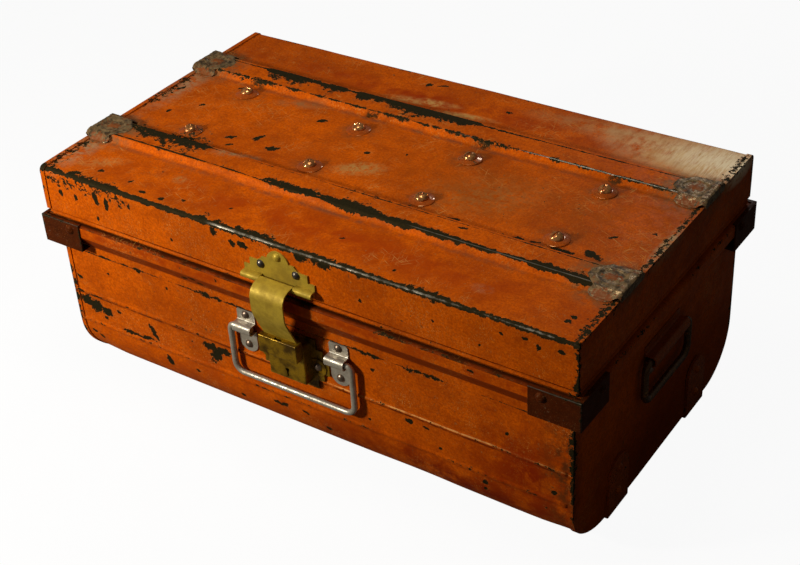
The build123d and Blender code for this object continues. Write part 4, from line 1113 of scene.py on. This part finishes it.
    def colour_patches(self) -> tuple[ColourPatch, ...]:
        """Return the lid's soft patches: dirt, tan scrapes and grey varnish; even darker strips along the top's
        front and back, which are painted shade; painted shade along the hem; dark spots at the batten ends; darker
        patches over the right half and round the bolts and rib ends; and the painted sheen towards the back right
        corner.
        """
        tan, grey, soot_and_shade = (0.42, 0.20, 0.055), (0.33, 0.22, 0.12), (0.045, 0.014, 0.003)
        top = self.top
        rows = [
            ((-12, -16, top), (24, 11, 12), tan, 28, 0.95, 300.0),
            ((-28, 93, top), (36, 7, 12), (0.55, 0.30, 0.09), 8, 1.2, 130.0),
            ((15, 88, top), (30, 5, 12), (0.55, 0.30, 0.09), 6, 1.0, 130.0),
            ((88, -4, top), (55, 34, 12), (0.34, 0.13, 0.03), 30, 0.55, 260.0),
            # Painted sheen: pale tan patches towards the back right corner paint the top's reflection there.
            ((214, 112, top), (100, 38, 12), (0.58, 0.33, 0.13), 4, 1.0, 38.0),
            ((130, 120, top), (90, 16, 12), (0.46, 0.21, 0.08), 3, 0.6, 55.0),
            ((-102, -47, top), (22, 8, 12), (0.22, 0.16, 0.08), 20, 0.9, 120.0),
            ((-110, 45, top), (28, 9, 12), (0.26, 0.13, 0.05), 20, 0.5, 90.0),
            ((-187, -99, top), (26, 8, 12), tan, 30, 0.5, 200.0),
            ((-118, -91, top), (7, 7, 12), tan, 0, 0.7, 260.0),
            ((143, -103, top), (10, 6, 12), grey, 0, 0.4, 300.0),
            # Painted shade: an even darker strip along the back of the top.
            ((-20, 100, top), (240, 18, 12), (0.28, 0.024, 0.001), 0, 0.60, 45.0),
            ((222, -5, top), (5, 40, 12), (0.40, 0.27, 0.14), 0, 1.1, 220.0),
            # Painted shade: an even darker strip along the front of the top.
            ((20, -98, top), (290, 26, 12), (0.34, 0.036, 0.001), 0, 0.60, 45.0),
            ((120, 6, top), (180, 60, 12), (0.26, 0.050, 0.002), 0, 0.40, 35.0),
            ((-214, -80, top), (14, 60, 12), grey, 0, 0.6, 180.0),
            ((-214, 30, top), (14, 60, 12), grey, 0, 0.5, 180.0),
        ]
        # Painted shade: a near-black even line along the gap between the hem and the rim band, and a dark line just
        # above it, in the groove over the hem, that is partly dirt and partly a painted dark reflection.
        rows.append(((0, self.front - 3, self.hem), (3000, 9, 1.5), soot_and_shade, 0, 6.0, 0.0))
        rows.append(((0, self.front - 1, self.hem + 4.3), (3000, 9, 0.9), (0.12, 0.014, 0.001), 0, 3.0, 0.0))
        for x in BATTEN_ENDS:
            rows.append(((x, 54.5, top), (9, 4, 8), soot_and_shade, 10, 1.5, 300.0))
        for corner_x in (-210, 210):
            for y in self.rib_centres:
                rows.append(((corner_x, y, top + 2), (32, 34, 20), (0.14, 0.085, 0.035), 0, 1.0, 150.0))
        for x, y in BOLTS:
            rows.append(((x, y, top), (19, 19, 12), (0.16, 0.052, 0.014), 0, 0.75, 150.0))
        return tuple(
            ColourPatch(millimetres(*place), millimetres(*radii), colour, (0.0, 0.0, math.radians(turn)), strength, grain)
            for place, radii, colour, turn, strength, grain in rows
        ) + self.sheen()

    def sheen(self) -> tuple[ColourPatch, ...]:
        """Return the painted sheen: pale streaks that paint the reflection on the top's back right corner."""
        pale, white = (0.74, 0.48, 0.24), (0.90, 0.72, 0.48)
        rows = (
            ((206, 114), (104, 34), pale, 0.75, 60.0, (2.4, 1.0, 1.0)),
            ((222, 112), (66, 30), white, 0.85, 130.0, (5.0, 0.5, 1.0)),
            ((224, 118), (52, 18), white, 0.6, 300.0, (2.0, 0.8, 1.0)),
        )
        return tuple(
            ColourPatch(millimetres(*place, self.top), millimetres(*radii, 12), colour, strength=strength, grain=grain,
                  streak=streak)
            for place, radii, colour, strength, grain, streak in rows
        )

    def cap_rust(self) -> tuple[Chip, ...]:
        """Return the rust in the middle and on the lobes of the rib caps."""
        spots = []
        for end in (-1, 1):
            for centre in self.rib_centres:
                middle = millimetres(end * 212, centre, self.rib_top + 2)
                spots.append(Chip(middle, millimetres(9, 6, 6), depth=1.4))
                for side in (-1, 1):
                    lobe = millimetres(end * 213, centre + side * 18, self.top + 2)
                    spots.append(Chip(lobe, millimetres(12, 8, 6), depth=1.2))
        return tuple(spots)

    def foot_lines(self) -> tuple[ColourPatch, ...]:
        """Return the grime along the foot of each rib's front riser."""
        dirt = (0.20, 0.055, 0.020)
        return tuple(
            ColourPatch(millimetres(0, centre - 16.5, self.top), millimetres(420, 3.6, 8), dirt, strength=0.6, grain=60.0)
            for centre in self.rib_centres
        )

    def build(self) -> None:
        """Shape and dress the lid."""
        enamel = Enamel("lid_enamel", middle=millimetres(0, 4.25, 60), edges=self.edges(), chips=self.chips(),
                        colour_patches=self.colour_patches() + self.foot_lines()).make()
        dents = tuple(((x, 54.0, self.top), 8.0, (0.0, 0.0, -1.3)) for x in BATTEN_ENDS)
        dents += (
            ((-205.0, -126.0, 180.0), 30.0, (0.3, 0.9, -0.6)),
            ((40.0, -127.0, 186.0), 26.0, (0.0, 0.2, -0.3)),
            ((150.0, -127.0, 186.0), 34.0, (0.0, 0.3, -0.2)),
            ((221.0, -124.0, 184.0), 22.0, (-0.4, 0.4, -0.4)),
            ((-60.0, -69.0, 189.6), 30.0, (0.0, 0.2, -0.8)),
            ((60.0, 56.0, 189.6), 40.0, (0.0, 0.2, -0.7)),
        )
        shaper = SheetShaper(dents)
        shaper.shape("lid_sheet", "lid_skin", "lid", enamel)
        shaper.shape("lid_rim_bead", "lid_rolled_hem", "lid", enamel)
        for side in SIDES:
            shaper.shape(f"lid_end_{side}", f"lid_end_panel_{side}", "lid", enamel)
        steel = OldMetal("cap_steel_old", (0.26, 0.165, 0.075), (0.022, 0.014, 0.007), rust=(0.20, 0.045, 0.005),
                         roughness=0.32, metallic=0.35, rust_share=0.95, tarnish_share=0.9, pits=0.45 * MM,
                         grain=260.0, gloss=0.2,
                         rust_spots=self.cap_rust()).make()
        cap = RibCap()
        for corner in CORNERS:
            centre = self.rib_centres[0 if corner.startswith("front") else 1]
            cap.build(corner, centre, self.top, steel)
        bolt = OldMetal("bolt_old", (0.62, 0.28, 0.09), (0.20, 0.045, 0.006), rust=(0.36, 0.060, 0.002),
                        tarnish_share=0.9, rust_share=0.8, grain=320.0, roughness=0.18, metallic=0.7,
                        pits=0.12 * MM).make()
        washer = Enamel("washer_enamel", base=(0.46, 0.080, 0.003), dark=(0.15, 0.024, 0.003),
                        light=(0.5, 0.12, 0.01), scatter=0.5, grime=0.3, roughness=0.16, gloss=0.7).make()
        LidBolts(self.top).build(StudField(), bolt, washer)
        plain = OldMetal("inner_steel", (0.20, 0.18, 0.155), (0.07, 0.05, 0.035)).make()
        dress(plain, "lid_nuts", *(f"lid_batten_{index}" for index in range(1, 5)))


@dataclass(frozen=True)
class RibCap:
    """A pressed tin cap over one end of a lid rib, with a round lobe on each riser and a turned-down end.

    Sizes are in millimetres. Across is measured along the rib's section, from its middle.
    """

    inner: float = 196.0
    end: float = 225.4
    top_half: float = 13.0
    riser_run: float = 5.2
    riser_rise: float = 4.5
    lobe_reach: float = 22.6
    nose_half: float = 3.5
    nose_slope: float = 0.95
    drop: float = 6.6
    thickness: float = 0.75
    seam: float = 221.0
    seam_rise: float = 0.8
    rows: int = 64
    columns: int = 40

    def section(self, across: float) -> tuple[float, float, Vector]:
        """Return where a distance across the rib lies on its section.

        Args:
            across: The distance from the rib's middle, along the section.

        Returns:
            The offset in Y, the height above the rib's foot and the outward direction.
        """
        side = 1.0 if across >= 0 else -1.0
        far = abs(across)
        slope = math.hypot(self.riser_run, self.riser_rise)
        if far <= self.top_half:
            return across, self.riser_rise, Vector((0, 0, 1))
        down = far - self.top_half
        if down <= slope:
            share = down / slope
            lean = Vector((0, side * self.riser_rise, self.riser_run)).normalized()
            soft = Vector((0, 0, 1)).lerp(lean, min(1.0, share * 2.5)).normalized()
            return side * (self.top_half + share * self.riser_run), self.riser_rise * (1 - share), soft
        past = down - slope
        lean = Vector((0, side * self.riser_rise, self.riser_run)).normalized()
        return side * (self.top_half + self.riser_run + past), 0.0, lean.lerp(Vector((0, 0, 1)), 0.6).normalized()

    def inner_edge(self, across: float) -> float:
        """Find where the cap begins.

        Args:
            across: The distance from the rib's middle, along the section.

        Returns:
            The distance from the lid's middle.
        """
        far = abs(across)
        if far <= self.nose_half:
            return self.inner
        if far <= self.top_half:
            return self.inner + (far - self.nose_half) * self.nose_slope
        share = (far - self.top_half) / (self.lobe_reach - self.top_half)
        shoulder = self.inner + (self.top_half - self.nose_half) * self.nose_slope
        return shoulder - 3.0 * math.sin(min(1.0, share * 1.6) * math.pi / 2) + 9.0 * share ** 3

    def outer_edge(self, across: float) -> float:
        """Find where the cap ends.

        Args:
            across: The distance from the rib's middle, along the section.

        Returns:
            The distance from the lid's middle, with the turned-down end laid flat.
        """
        far = abs(across)
        if far <= self.top_half:
            return self.end + self.drop
        share = (far - self.top_half) / (self.lobe_reach - self.top_half)
        spread = self.end + self.drop * max(0.0, 1.0 - share * 2.2)
        return spread - 9.0 * share ** 1.6

    def pressed(self, along: float, across: float) -> float:
        """Shape the pressed pattern: an oval tray with a raised rim and a plain blister.

        Args:
            along: The distance from the lid's middle.
            across: The distance from the rib's middle.

        Returns:
            The pattern's height.
        """
        oval = math.hypot((along - 212.0) / 10.5, across / 8.6)
        rim = math.exp(-((oval - 1.0) / 0.14) ** 2)
        tray = -0.45 / (1.0 + math.exp((oval - 0.88) / 0.03))
        blister = 0.60 * math.exp(-((along - 212.0) / 6.0) ** 2 - (across / 2.6) ** 2)
        return 0.35 * rim + tray + blister

    def build(self, corner: str, centre: float, level: float, material: bpy.types.Material) -> None:
        """Build one cap.

        Args:
            corner: The corner that the cap is at, such as front_left.
            centre: The rib's Y.
            level: The lid's top at the rib's foot.
            material: The finish.
        """
        end_side = -1.0 if corner.endswith("left") else 1.0
        mesh = bmesh.new()
        grid = []
        for row in range(self.rows + 1):
            across = self.lobe_reach * (2 * row / self.rows - 1)
            start, stop = self.inner_edge(across), self.outer_edge(across)
            offset, height, outward = self.section(across)
            line = []
            for column in range(self.columns + 1):
                along = start + (stop - start) * column / self.columns
                step = self.seam_rise * min(1.0, max(0.0, (along - self.seam + 2.0) / 2.0))
                edge = min(1.0, (along - start) / 1.2, (self.lobe_reach - abs(across)) / 1.2)
                lift = self.thickness * (0.35 + 0.65 * max(0.0, edge)) + step
                if abs(across) < self.top_half and along < self.end:
                    lift += self.pressed(along, across)
                past = max(0.0, along - self.end)
                x = min(along, self.end)
                point = Vector((x, offset, height)) + outward * lift
                if past > 0:
                    point.x = self.end + 0.75
                    point.z -= past + 0.4
                    point.y *= 1.0 + 0.02 * past
                wobble = noise.noise_vector(Vector((x * end_side, offset + centre, height)) * 0.22) * 0.28
                point += wobble * max(0.2, edge)
                point.z = min(point.z, 6.75)
                line.append(mesh.verts.new(Vector((end_side * point.x, centre + point.y, level + point.z)) * MM))
            grid.append(line)
        for row in range(self.rows):
            for column in range(self.columns):
                mesh.faces.new((grid[row][column], grid[row][column + 1],
                                grid[row + 1][column + 1], grid[row + 1][column]))
        bmesh.ops.recalc_face_normals(mesh, faces=mesh.faces)
        upward = sum(face.normal.z * face.calc_area() for face in mesh.faces)
        if upward < 0:
            bmesh.ops.reverse_faces(mesh, faces=mesh.faces)
        data = bpy.data.meshes.new("cap")
        mesh.to_mesh(data)
        mesh.free()
        data.shade_smooth()
        holder = bpy.data.objects.new("cap", data)
        bpy.context.scene.collection.objects.link(holder)
        wall = holder.modifiers.new("wall", "SOLIDIFY")
        wall.thickness = self.thickness * MM
        wall.offset = -1.0
        graph = bpy.context.evaluated_depsgraph_get()
        solid = bpy.data.meshes.new_from_object(holder.evaluated_get(graph))
        bpy.data.objects.remove(holder)
        solid.set_sharp_from_angle(angle=math.radians(50.0))
        piece_from(solid, f"rib_cap_pressed_{corner}", "lid", material, f"rib_cap_{corner}")


@dataclass(frozen=True)
class LidBolts:
    """The eight slotted bolts on dished washers that hold the battens to the lid. Sizes in millimetres."""

    level: float = 185.1
    slot_half: float = 0.75
    slot_depth: float = 1.3
    segments: int = 36
    washer: tuple[tuple[float, float], ...] = (
        (2.5, 0.9), (5.5, 0.9), (7.4, 0.25), (9.0, -0.1), (9.5, 0.15), (9.45, 0.6), (8.8, 1.0),
        (7.6, 1.15), (6.2, 1.8), (4.5, 2.0), (2.5, 2.0), (2.5, 0.9),
    )
    bolt: tuple[tuple[float, float], ...] = (
        (0.0, -9.5), (2.1, -9.5), (2.4, -9.0), (2.4, 1.6), (5.0, 1.75), (5.25, 2.3), (5.0, 3.1), (4.4, 4.0),
        (3.6, 4.7), (2.8, 5.15), (2.0, 5.45), (1.2, 5.6), (0.6, 5.65), (0.0, 5.65),
    )

    def head(self) -> bmesh.types.BMesh:
        """Return one bolt with its slot."""
        mesh = turned_mesh("bolt", self.bolt, self.segments, 0.16)
        for vertex in mesh.verts:
            if vertex.co.z > 4.2 * MM and abs(vertex.co.x) < self.slot_half * MM:
                vertex.co.z -= self.slot_depth * MM
        return mesh

    def build(self, studs: StudField, painted: bpy.types.Material, dirty: bpy.types.Material) -> None:
        """Build the washers and the bolts.

        Args:
            studs: The tree that sets them out.
            painted: The bolts' finish.
            dirty: The washers' finish.
        """
        up = Vector((0, 0, 1))
        points = [(Vector(millimetres(x, y, self.level)), up) for x, y in BOLTS]
        washers = studs.plant(turned_mesh("washer", self.washer, self.segments, 0.22), points, dirty,
                              math.pi, 0.02, 0.04, 5)
        piece_from(washers, "lid_dished_washers", "lid", dirty, "lid_washers")
        bolts = studs.plant(self.head(), points, painted, math.pi, 0.05, 0.03, 11)
        piece_from(bolts, "lid_slotted_bolts", "lid", painted, "lid_bolts")


@dataclass(frozen=True)
class Body:
    """The body: its wrapper, ends, rim band, corner plates and runners."""

    front: float = -120.85
    half_length: float = 219.6
    band_front: float = -129.55
    band_top: float = 144.3
    flange_bottom: float = 115.1

    def edges(self) -> tuple[WornEdge, ...]:
        """Return the body's worn edges."""
        near = millimetres
        back = 129.35
        flange = self.front - 0.8
        return (
            WornEdge(Axis.X, near(0, self.band_front, self.band_top), 3.0 * MM, 0.60, 0.8, (near(60, 200),),
                     (near(80, 190),), 0.6 * MM),
            WornEdge(Axis.X, near(0, flange, self.flange_bottom), 3.6 * MM, 1.0, 0.35,
                     (near(-180, -140), near(-110, -44), near(50, 70), near(90, 130))),
            WornEdge(Axis.X, near(0, 138.05, self.band_top), 3.0 * MM, 0.6),
            WornEdge(Axis.Y, near(-228.3, 0, self.band_top), 3.0 * MM, 0.6),
            WornEdge(Axis.Y, near(228.3, 0, self.band_top), 3.0 * MM, 0.6, 0.8, (), EVERYWHERE, 0.6 * MM),
            WornEdge(Axis.Z, near(-self.half_length, self.front, 0), 6.0 * MM, 0.80),
            WornEdge(Axis.Z, near(self.half_length, self.front, 0), 6.0 * MM, 0.90),
            WornEdge(Axis.Z, near(-self.half_length, back, 0), 6.0 * MM, 0.80),
            WornEdge(Axis.Z, near(self.half_length, back, 0), 6.0 * MM, 0.80),
            WornEdge(Axis.X, near(0, self.front - 0.7, 75.0), 2.2 * MM, 0.35, 0.6, (near(60, 215),)),
            WornEdge(Axis.X, near(0, self.front - 0.7, 47.5), 2.2 * MM, 0.40),
        )

    def chips(self) -> tuple[Chip, ...]:
        """Return the body's single chips."""
        rows = (
            (-201, 65.0, 9.0, 4.8, -6), (-209, 68.0, 5.5, 3.4, 20), (-188, 62, 5.0, 3.6, -20),
            (-141, 59, 1.6, 7.0, 32), (-163, 51, 10.0, 1.3, 0), (-148, 51, 6.0, 1.6, 0),
            (-79, 60.5, 4.2, 8.5, -40), (-85, 66.5, 5.0, 3.4, 0), (-72, 67, 6.0, 2.4, 0),
            (-129, 37.5, 2.2, 4.6, 20), (-101, 38, 1.6, 1.6, 0), (-211, 88.5, 2.0, 1.8, 0),
            (-217, 82, 2.0, 3.0, 0), (-176, 66.5, 2.4, 1.4, 0), (-191, 55.5, 2.2, 1.4, 0),
            (-208, 38, 2.4, 1.8, 0), (-201, 34, 2.2, 1.8, 0), (-21.5, 38.7, 6.0, 1.4, 0),
            (1.4, 38.7, 3.4, 1.2, 0), (64, 102, 1.4, 1.4, 0), (59, 56, 1.4, 1.2, 0),
            (92, 68, 3.0, 1.5, 0), (106, 68, 2.0, 1.2, 0), (153, 41, 2.2, 1.8, 0),
            (152, 33, 1.6, 1.6, 0), (-180, 100, 1.4, 1.2, 0), (-120, 108, 1.2, 1.2, 0),
            (-213, 75, 3.0, 1.6, 0), (-196, 75, 6.0, 1.2, 0), (20, 30, 2.4, 1.6, 0),
            (170, 90, 1.2, 1.2, 0), (118, 54, 1.2, 1.0, 0), (205, 55, 2.0, 1.6, 0),
            (-60, 30, 1.8, 1.2, 0), (-30, 92, 1.2, 1.2, 0),
        )
        slope = ((-95, 127.6, 3.0, 1.6, 0), (-86, 130.6, 3.4, 1.6, 0), (-82, 126, 2.6, 1.6, 0),
                 (-60, 140, 1.6, 1.0, 0), (150, 139, 2.0, 1.0, 0))
        return chips_on_front(rows, self.front) + chips_on_front(slope, -127.0)

    def colour_patches(self) -> tuple[ColourPatch, ...]:
        """Return the patches of the body's front wall and right end: a dark brown stripe on the band's slope and a
        darker band face, painted shade along the gap under the lid's hem, a painted highlight along the top of the
        upper bead with painted shade under it, darker mottled patches low on the front and near its right end, a
        dark upright patch at the lock's right side, and a right end that darkens towards the bottom.
        """
        rows = (
            ((0, self.front - 4.5, 128.6), (3000, 14, 6.6), (0.22, 0.030, 0.002), 7.0, 0.0),
            # Painted shade: a near-black even line along the gap between the band's top and the lid's hem.
            ((0, self.band_front, self.band_top), (3000, 5, 1.6), (0.05, 0.010, 0.002), 6.0, 0.0),
            # Painted shade: a dark line under the upper bead; the next row is a painted highlight along the bead's
            # top.
            ((60, self.front, 73.2), (3000, 5, 1.3), (0.14, 0.018, 0.001), 1.2, 70.0),
            ((110, self.front, 75.6), (190, 5, 0.8), (0.84, 0.36, 0.10), 1.6, 90.0),
            ((0, self.band_front, 139.5), (3000, 4, 7), (0.34, 0.040, 0.001), 0.8, 60.0),
            ((self.half_length, 0, 20), (8, 240, 80), (0.14, 0.016, 0.001), 0.45, 0.0),
            ((-100, self.front, 40), (150, 12, 34), (0.36, 0.045, 0.002), 0.5, 60.0),
            ((120, self.front, 26), (190, 14, 34), (0.20, 0.016, 0.001), 0.9, 45.0),
            ((185, self.front, 60), (70, 14, 70), (0.24, 0.020, 0.001), 0.7, 60.0),
            ((212, self.front, 75), (20, 14, 110), (0.12, 0.028, 0.006), 0.7, 110.0),
            ((18, self.front, 96), (10, 12, 40), (0.10, 0.03, 0.006), 0.6, 90.0),
        )
        return tuple(
            ColourPatch(millimetres(*place), millimetres(*radii), colour, strength=strength, grain=grain)
            for place, radii, colour, strength, grain in rows
        )

    def build(self) -> None:
        """Shape and dress the body."""
        enamel = Enamel("body_enamel", middle=millimetres(0, 4.25, 110), edges=self.edges(), chips=self.chips(),
                        colour_patches=self.colour_patches(), grime=0.2).make()
        dents = (
            ((-219.0, -100.0, 18.0), 40.0, (1.6, 1.4, 1.0)),
            ((219.0, -100.0, 14.0), 34.0, (-1.4, 1.2, 0.8)),
            ((-80.0, -121.0, 55.0), 30.0, (0.0, 0.9, 0.0)),
            ((90.0, -121.0, 40.0), 55.0, (0.0, 1.2, 0.0)),
            ((160.0, -121.0, 95.0), 40.0, (0.0, 0.7, 0.0)),
            ((-150.0, 129.0, 60.0), 60.0, (0.0, -1.2, 0.0)),
            ((219.0, 60.0, 60.0), 45.0, (-1.0, 0.0, 0.0)),
        )
        shaper = SheetShaper(dents)
        shaper.shape("body_wrapper", "body_skin", "body", enamel)
        shaper.shape("rim_band", "rim_band_worn", "body", enamel)
        for side in SIDES:
            shaper.shape(f"body_end_{side}", f"body_end_panel_{side}", "body", enamel)
        brown = Enamel("corner_enamel", base=(0.085, 0.014, 0.002), dark=(0.028, 0.007, 0.002), scatter=0.4,
                       light=(0.15, 0.038, 0.008), scraped=(0.20, 0.12, 0.06),
                       primer=(0.20, 0.12, 0.07), edges=self.plate_edges(), roughness=0.36).make()
        fine = SheetShaper(dents, 0.32, 2.5)
        for corner in CORNERS:
            fine.shape(f"corner_plate_{corner}", f"corner_plate_worn_{corner}", "body", brown)
        dress(brown, "corner_plate_rivets")
        steel = Enamel("runner_enamel", base=(0.45, 0.075, 0.003), dark=(0.16, 0.026, 0.003), scatter=0.3,
                       roughness=0.30, gloss=0.25).make()
        dress(steel, "runner_front", "runner_back", "runner_rivets")

    def plate_edges(self) -> tuple[WornEdge, ...]:
        """Return the worn edges of the corner plates."""
        near = millimetres
        return (
            WornEdge(Axis.X, near(0, -130.65, 145.1), 2.4 * MM, 0.8, 1.0, (), EVERYWHERE, 0.5 * MM),
            WornEdge(Axis.Z, near(-229.4, -130.65, 0), 2.6 * MM, 0.9, 1.0, (), EVERYWHERE, 0.5 * MM),
            WornEdge(Axis.Z, near(229.4, -130.65, 0), 2.6 * MM, 0.9, 1.0, (), EVERYWHERE, 0.5 * MM),
            WornEdge(Axis.Z, near(191.4, -130.65, 0), 2.0 * MM, 0.7),
            WornEdge(Axis.Z, near(-191.4, -130.65, 0), 2.0 * MM, 0.7),
        )


@dataclass(frozen=True)
class Fittings:
    """The hasp, lock, handles and back hinges."""

    def build(self) -> None:
        """Dress the fittings."""
        brass = OldMetal("hasp_brass", (0.45, 0.30, 0.028), (0.24, 0.145, 0.012), rust=(0.18, 0.11, 0.014),
                         tarnish_share=0.7, rust_share=0.4, grain=70.0, roughness=0.52, metallic=0.25,
                         gloss=0.2).make()
        dark_brass = OldMetal("lock_brass", (0.36, 0.20, 0.008), (0.055, 0.026, 0.002), rust=(0.04, 0.018, 0.002),
                              tarnish_share=0.95, rust_share=0.6, grain=62.0, roughness=0.30, metallic=0.55,
                              gloss=0.2).make()
        handle = OldMetal("handle_steel_old", (0.50, 0.455, 0.38), (0.27, 0.215, 0.155), tarnish_share=0.6,
                          rust_share=0.40, grain=200.0, roughness=0.40, metallic=0.6).make()
        rivet = OldMetal("rivet_steel_old", (0.26, 0.19, 0.14), (0.09, 0.05, 0.03), rust_share=0.6,
                         grain=300.0).make()
        dark = OldMetal("dark_steel_old", (0.10, 0.085, 0.07), (0.03, 0.02, 0.015), rust_share=0.5,
                        grain=260.0).make()
        end_handle = Enamel("end_handle_enamel", base=(0.42, 0.070, 0.004), dark=(0.15, 0.026, 0.003),
                            scatter=0.3, roughness=0.30, gloss=0.25).make()
        end_bail = Enamel("end_bail_enamel", base=(0.060, 0.022, 0.008), dark=(0.016, 0.012, 0.008),
                          scatter=0.5, roughness=0.22, gloss=0.6).make()
        dress(brass, "hasp_plate", "hasp_strap", "hasp_brass_rivet")
        dress(dark_brass, "lock_case", "hasp_head", "hasp_staple", "lock_backplate")
        dress(dark, "hasp_pin", "hasp_rivets", "lock_bolt", "lock_bolt_keeper")
        dress(rivet, "lock_rivets", "front_handle_rivets", "left_handle_rivets", "right_handle_rivets",
              "hinge_body_rivets", "hinge_lid_rivets")
        dress(handle, "front_handle_bail", "front_handle_clip_left", "front_handle_clip_right")
        dress(end_handle, "left_handle_clip", "right_handle_clip")
        dress(end_bail, "left_handle_bail", "right_handle_bail")
        dress(rivet, *(f"hinge_{leaf}_{side}" for leaf in ("body_leaf", "lid_leaf", "pin") for side in SIDES))


@dataclass(frozen=True)
class Lamp:
    """One square area lamp."""

    name: str
    place: Point
    target: Point
    power: float
    size: float
    colour: Colour = (1.0, 1.0, 1.0)

    def build(self) -> None:
        """Hang the lamp and turn it to its target."""
        data = bpy.data.lights.new(self.name, "AREA")
        data.energy = self.power
        data.size = self.size
        data.color = self.colour
        lamp = bpy.data.objects.new(self.name, data)
        lamp.visible_camera = False
        lamp.location = self.place
        aim = Vector(self.target) - Vector(self.place)
        lamp.rotation_euler = aim.to_track_quat("-Z", "Y").to_euler()
        bpy.context.scene.collection.objects.link(lamp)


@dataclass(frozen=True)
class Studio:
    """The camera, the pale floor, the lamps and the plain surroundings."""

    azimuth: float = 35.858
    elevation: float = 34.249
    roll: float = -3.796
    lens: float = 67.16
    sensor: float = 36.0
    camera_place: Point = (0.55516, -0.76054, 0.72103)
    floor_half: float = 6.0
    ambient: float = 0.045
    reflected: float = 0.11
    floor_colour: Colour = (0.80, 0.79, 0.77)
    bounce_colour: Colour = (0.16, 0.15, 0.14)
    floor_glow: float = 0.94

    def camera(self) -> None:
        """Place the camera."""
        turn, rise, roll = (math.radians(angle) for angle in (self.azimuth, self.elevation, self.roll))
        ahead = Vector((-math.sin(turn) * math.cos(rise), math.cos(turn) * math.cos(rise), -math.sin(rise)))
        level = Vector((math.cos(turn), math.sin(turn), 0.0))
        down = ahead.cross(level)
        right = math.cos(roll) * level - math.sin(roll) * down
        up = -(math.sin(roll) * level + math.cos(roll) * down)
        matrix = Matrix((right, up, -ahead)).transposed().to_4x4()
        matrix.translation = Vector(self.camera_place)
        data = bpy.data.cameras.new("view")
        data.lens = self.lens
        data.sensor_width = self.sensor
        data.clip_start = 0.01
        camera = bpy.data.objects.new("view", data)
        camera.matrix_world = matrix
        bpy.context.scene.collection.objects.link(camera)
        bpy.context.scene.camera = camera

    def floor(self) -> None:
        """Lay the floor: pale paint that shows the object's shadow."""
        mesh = bmesh.new()
        bmesh.ops.create_grid(mesh, x_segments=1, y_segments=1, size=self.floor_half)
        data = bpy.data.meshes.new("floor")
        mesh.to_mesh(data)
        mesh.free()
        graph = Graph("floor_paint")
        paint = graph.add("ShaderNodeBsdfDiffuse")
        speckle = graph.band(graph.noise(graph.place(), 40.0, 4.0), 0.3, 0.7)
        colour = graph.mix(speckle, self.floor_colour, (0.83, 0.82, 0.80))
        path = graph.add("ShaderNodeLightPath")
        seen = graph.mix(path.outputs["Is Camera Ray"], self.bounce_colour, colour)
        graph.feed(paint.inputs["Color"], seen)
        glow = graph.add("ShaderNodeEmission")
        shown = graph.math("MULTIPLY", path.outputs["Is Camera Ray"], self.floor_glow)
        mixer = graph.add("ShaderNodeMixShader")
        graph.feed(mixer.inputs[0], shown)
        graph.tree.links.new(paint.outputs[0], mixer.inputs[1])
        graph.tree.links.new(glow.outputs[0], mixer.inputs[2])
        output = graph.add("ShaderNodeOutputMaterial")
        graph.tree.links.new(mixer.outputs[0], output.inputs[0])
        data.materials.append(graph.material)
        floor = bpy.data.objects.new("floor", data)
        bpy.context.scene.collection.objects.link(floor)

    def surroundings(self) -> None:
        """Set the world: white to the camera, dim to the object."""
        world = bpy.data.worlds.new("surroundings")
        bpy.context.scene.world = world
        world.use_nodes = True
        tree = world.node_tree
        tree.nodes.clear()
        path = tree.nodes.new("ShaderNodeLightPath")
        glossy = tree.nodes.new("ShaderNodeMath")
        glossy.operation = "ADD"
        tree.links.new(path.outputs["Is Glossy Ray"], glossy.inputs[0])
        tree.links.new(path.outputs["Is Transmission Ray"], glossy.inputs[1])
        seen = tree.nodes.new("ShaderNodeMath")
        seen.operation = "MULTIPLY_ADD"
        tree.links.new(glossy.outputs[0], seen.inputs[0])
        seen.inputs[1].default_value = self.reflected - self.ambient
        seen.inputs[2].default_value = self.ambient
        shown = tree.nodes.new("ShaderNodeMath")
        shown.operation = "MAXIMUM"
        tree.links.new(path.outputs["Is Camera Ray"], shown.inputs[0])
        tree.links.new(seen.outputs[0], shown.inputs[1])
        background = tree.nodes.new("ShaderNodeBackground")
        background.inputs["Color"].default_value = (1.0, 1.0, 1.0, 1.0)
        tree.links.new(shown.outputs[0], background.inputs["Strength"])
        output = tree.nodes.new("ShaderNodeOutputWorld")
        tree.links.new(background.outputs[0], output.inputs[0])

    def build(self) -> None:
        """Set up everything around the object."""
        self.camera()
        self.floor()
        self.surroundings()
        Lamp("key", (-0.50, -0.72, 0.50), (-0.30, -0.02, 0.12), 7.5, 0.10, (1.0, 0.97, 0.86)).build()
        Lamp("overhead", (-0.01, -0.10, 0.78), (0.0, -0.06, 0.18), 1.75, 0.22, (1.0, 0.97, 0.86)).build()
        Lamp("sheen", (-0.22, 1.25, 0.92), (0.19, 0.11, 0.18), 1.3, 0.14).build()
        bpy.context.scene.view_settings.view_transform = "Standard"


def main() -> None:
    """Build the trunk's looks and the studio."""
    logging.basicConfig(level=logging.INFO)
    noise.seed_set(NOISE_SEED)
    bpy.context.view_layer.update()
    for part in (Lid(), Body(), Fittings(), Studio()):
        part.build()
        log.info("%s done", type(part).__name__)


if __name__ == "__main__":
    main()
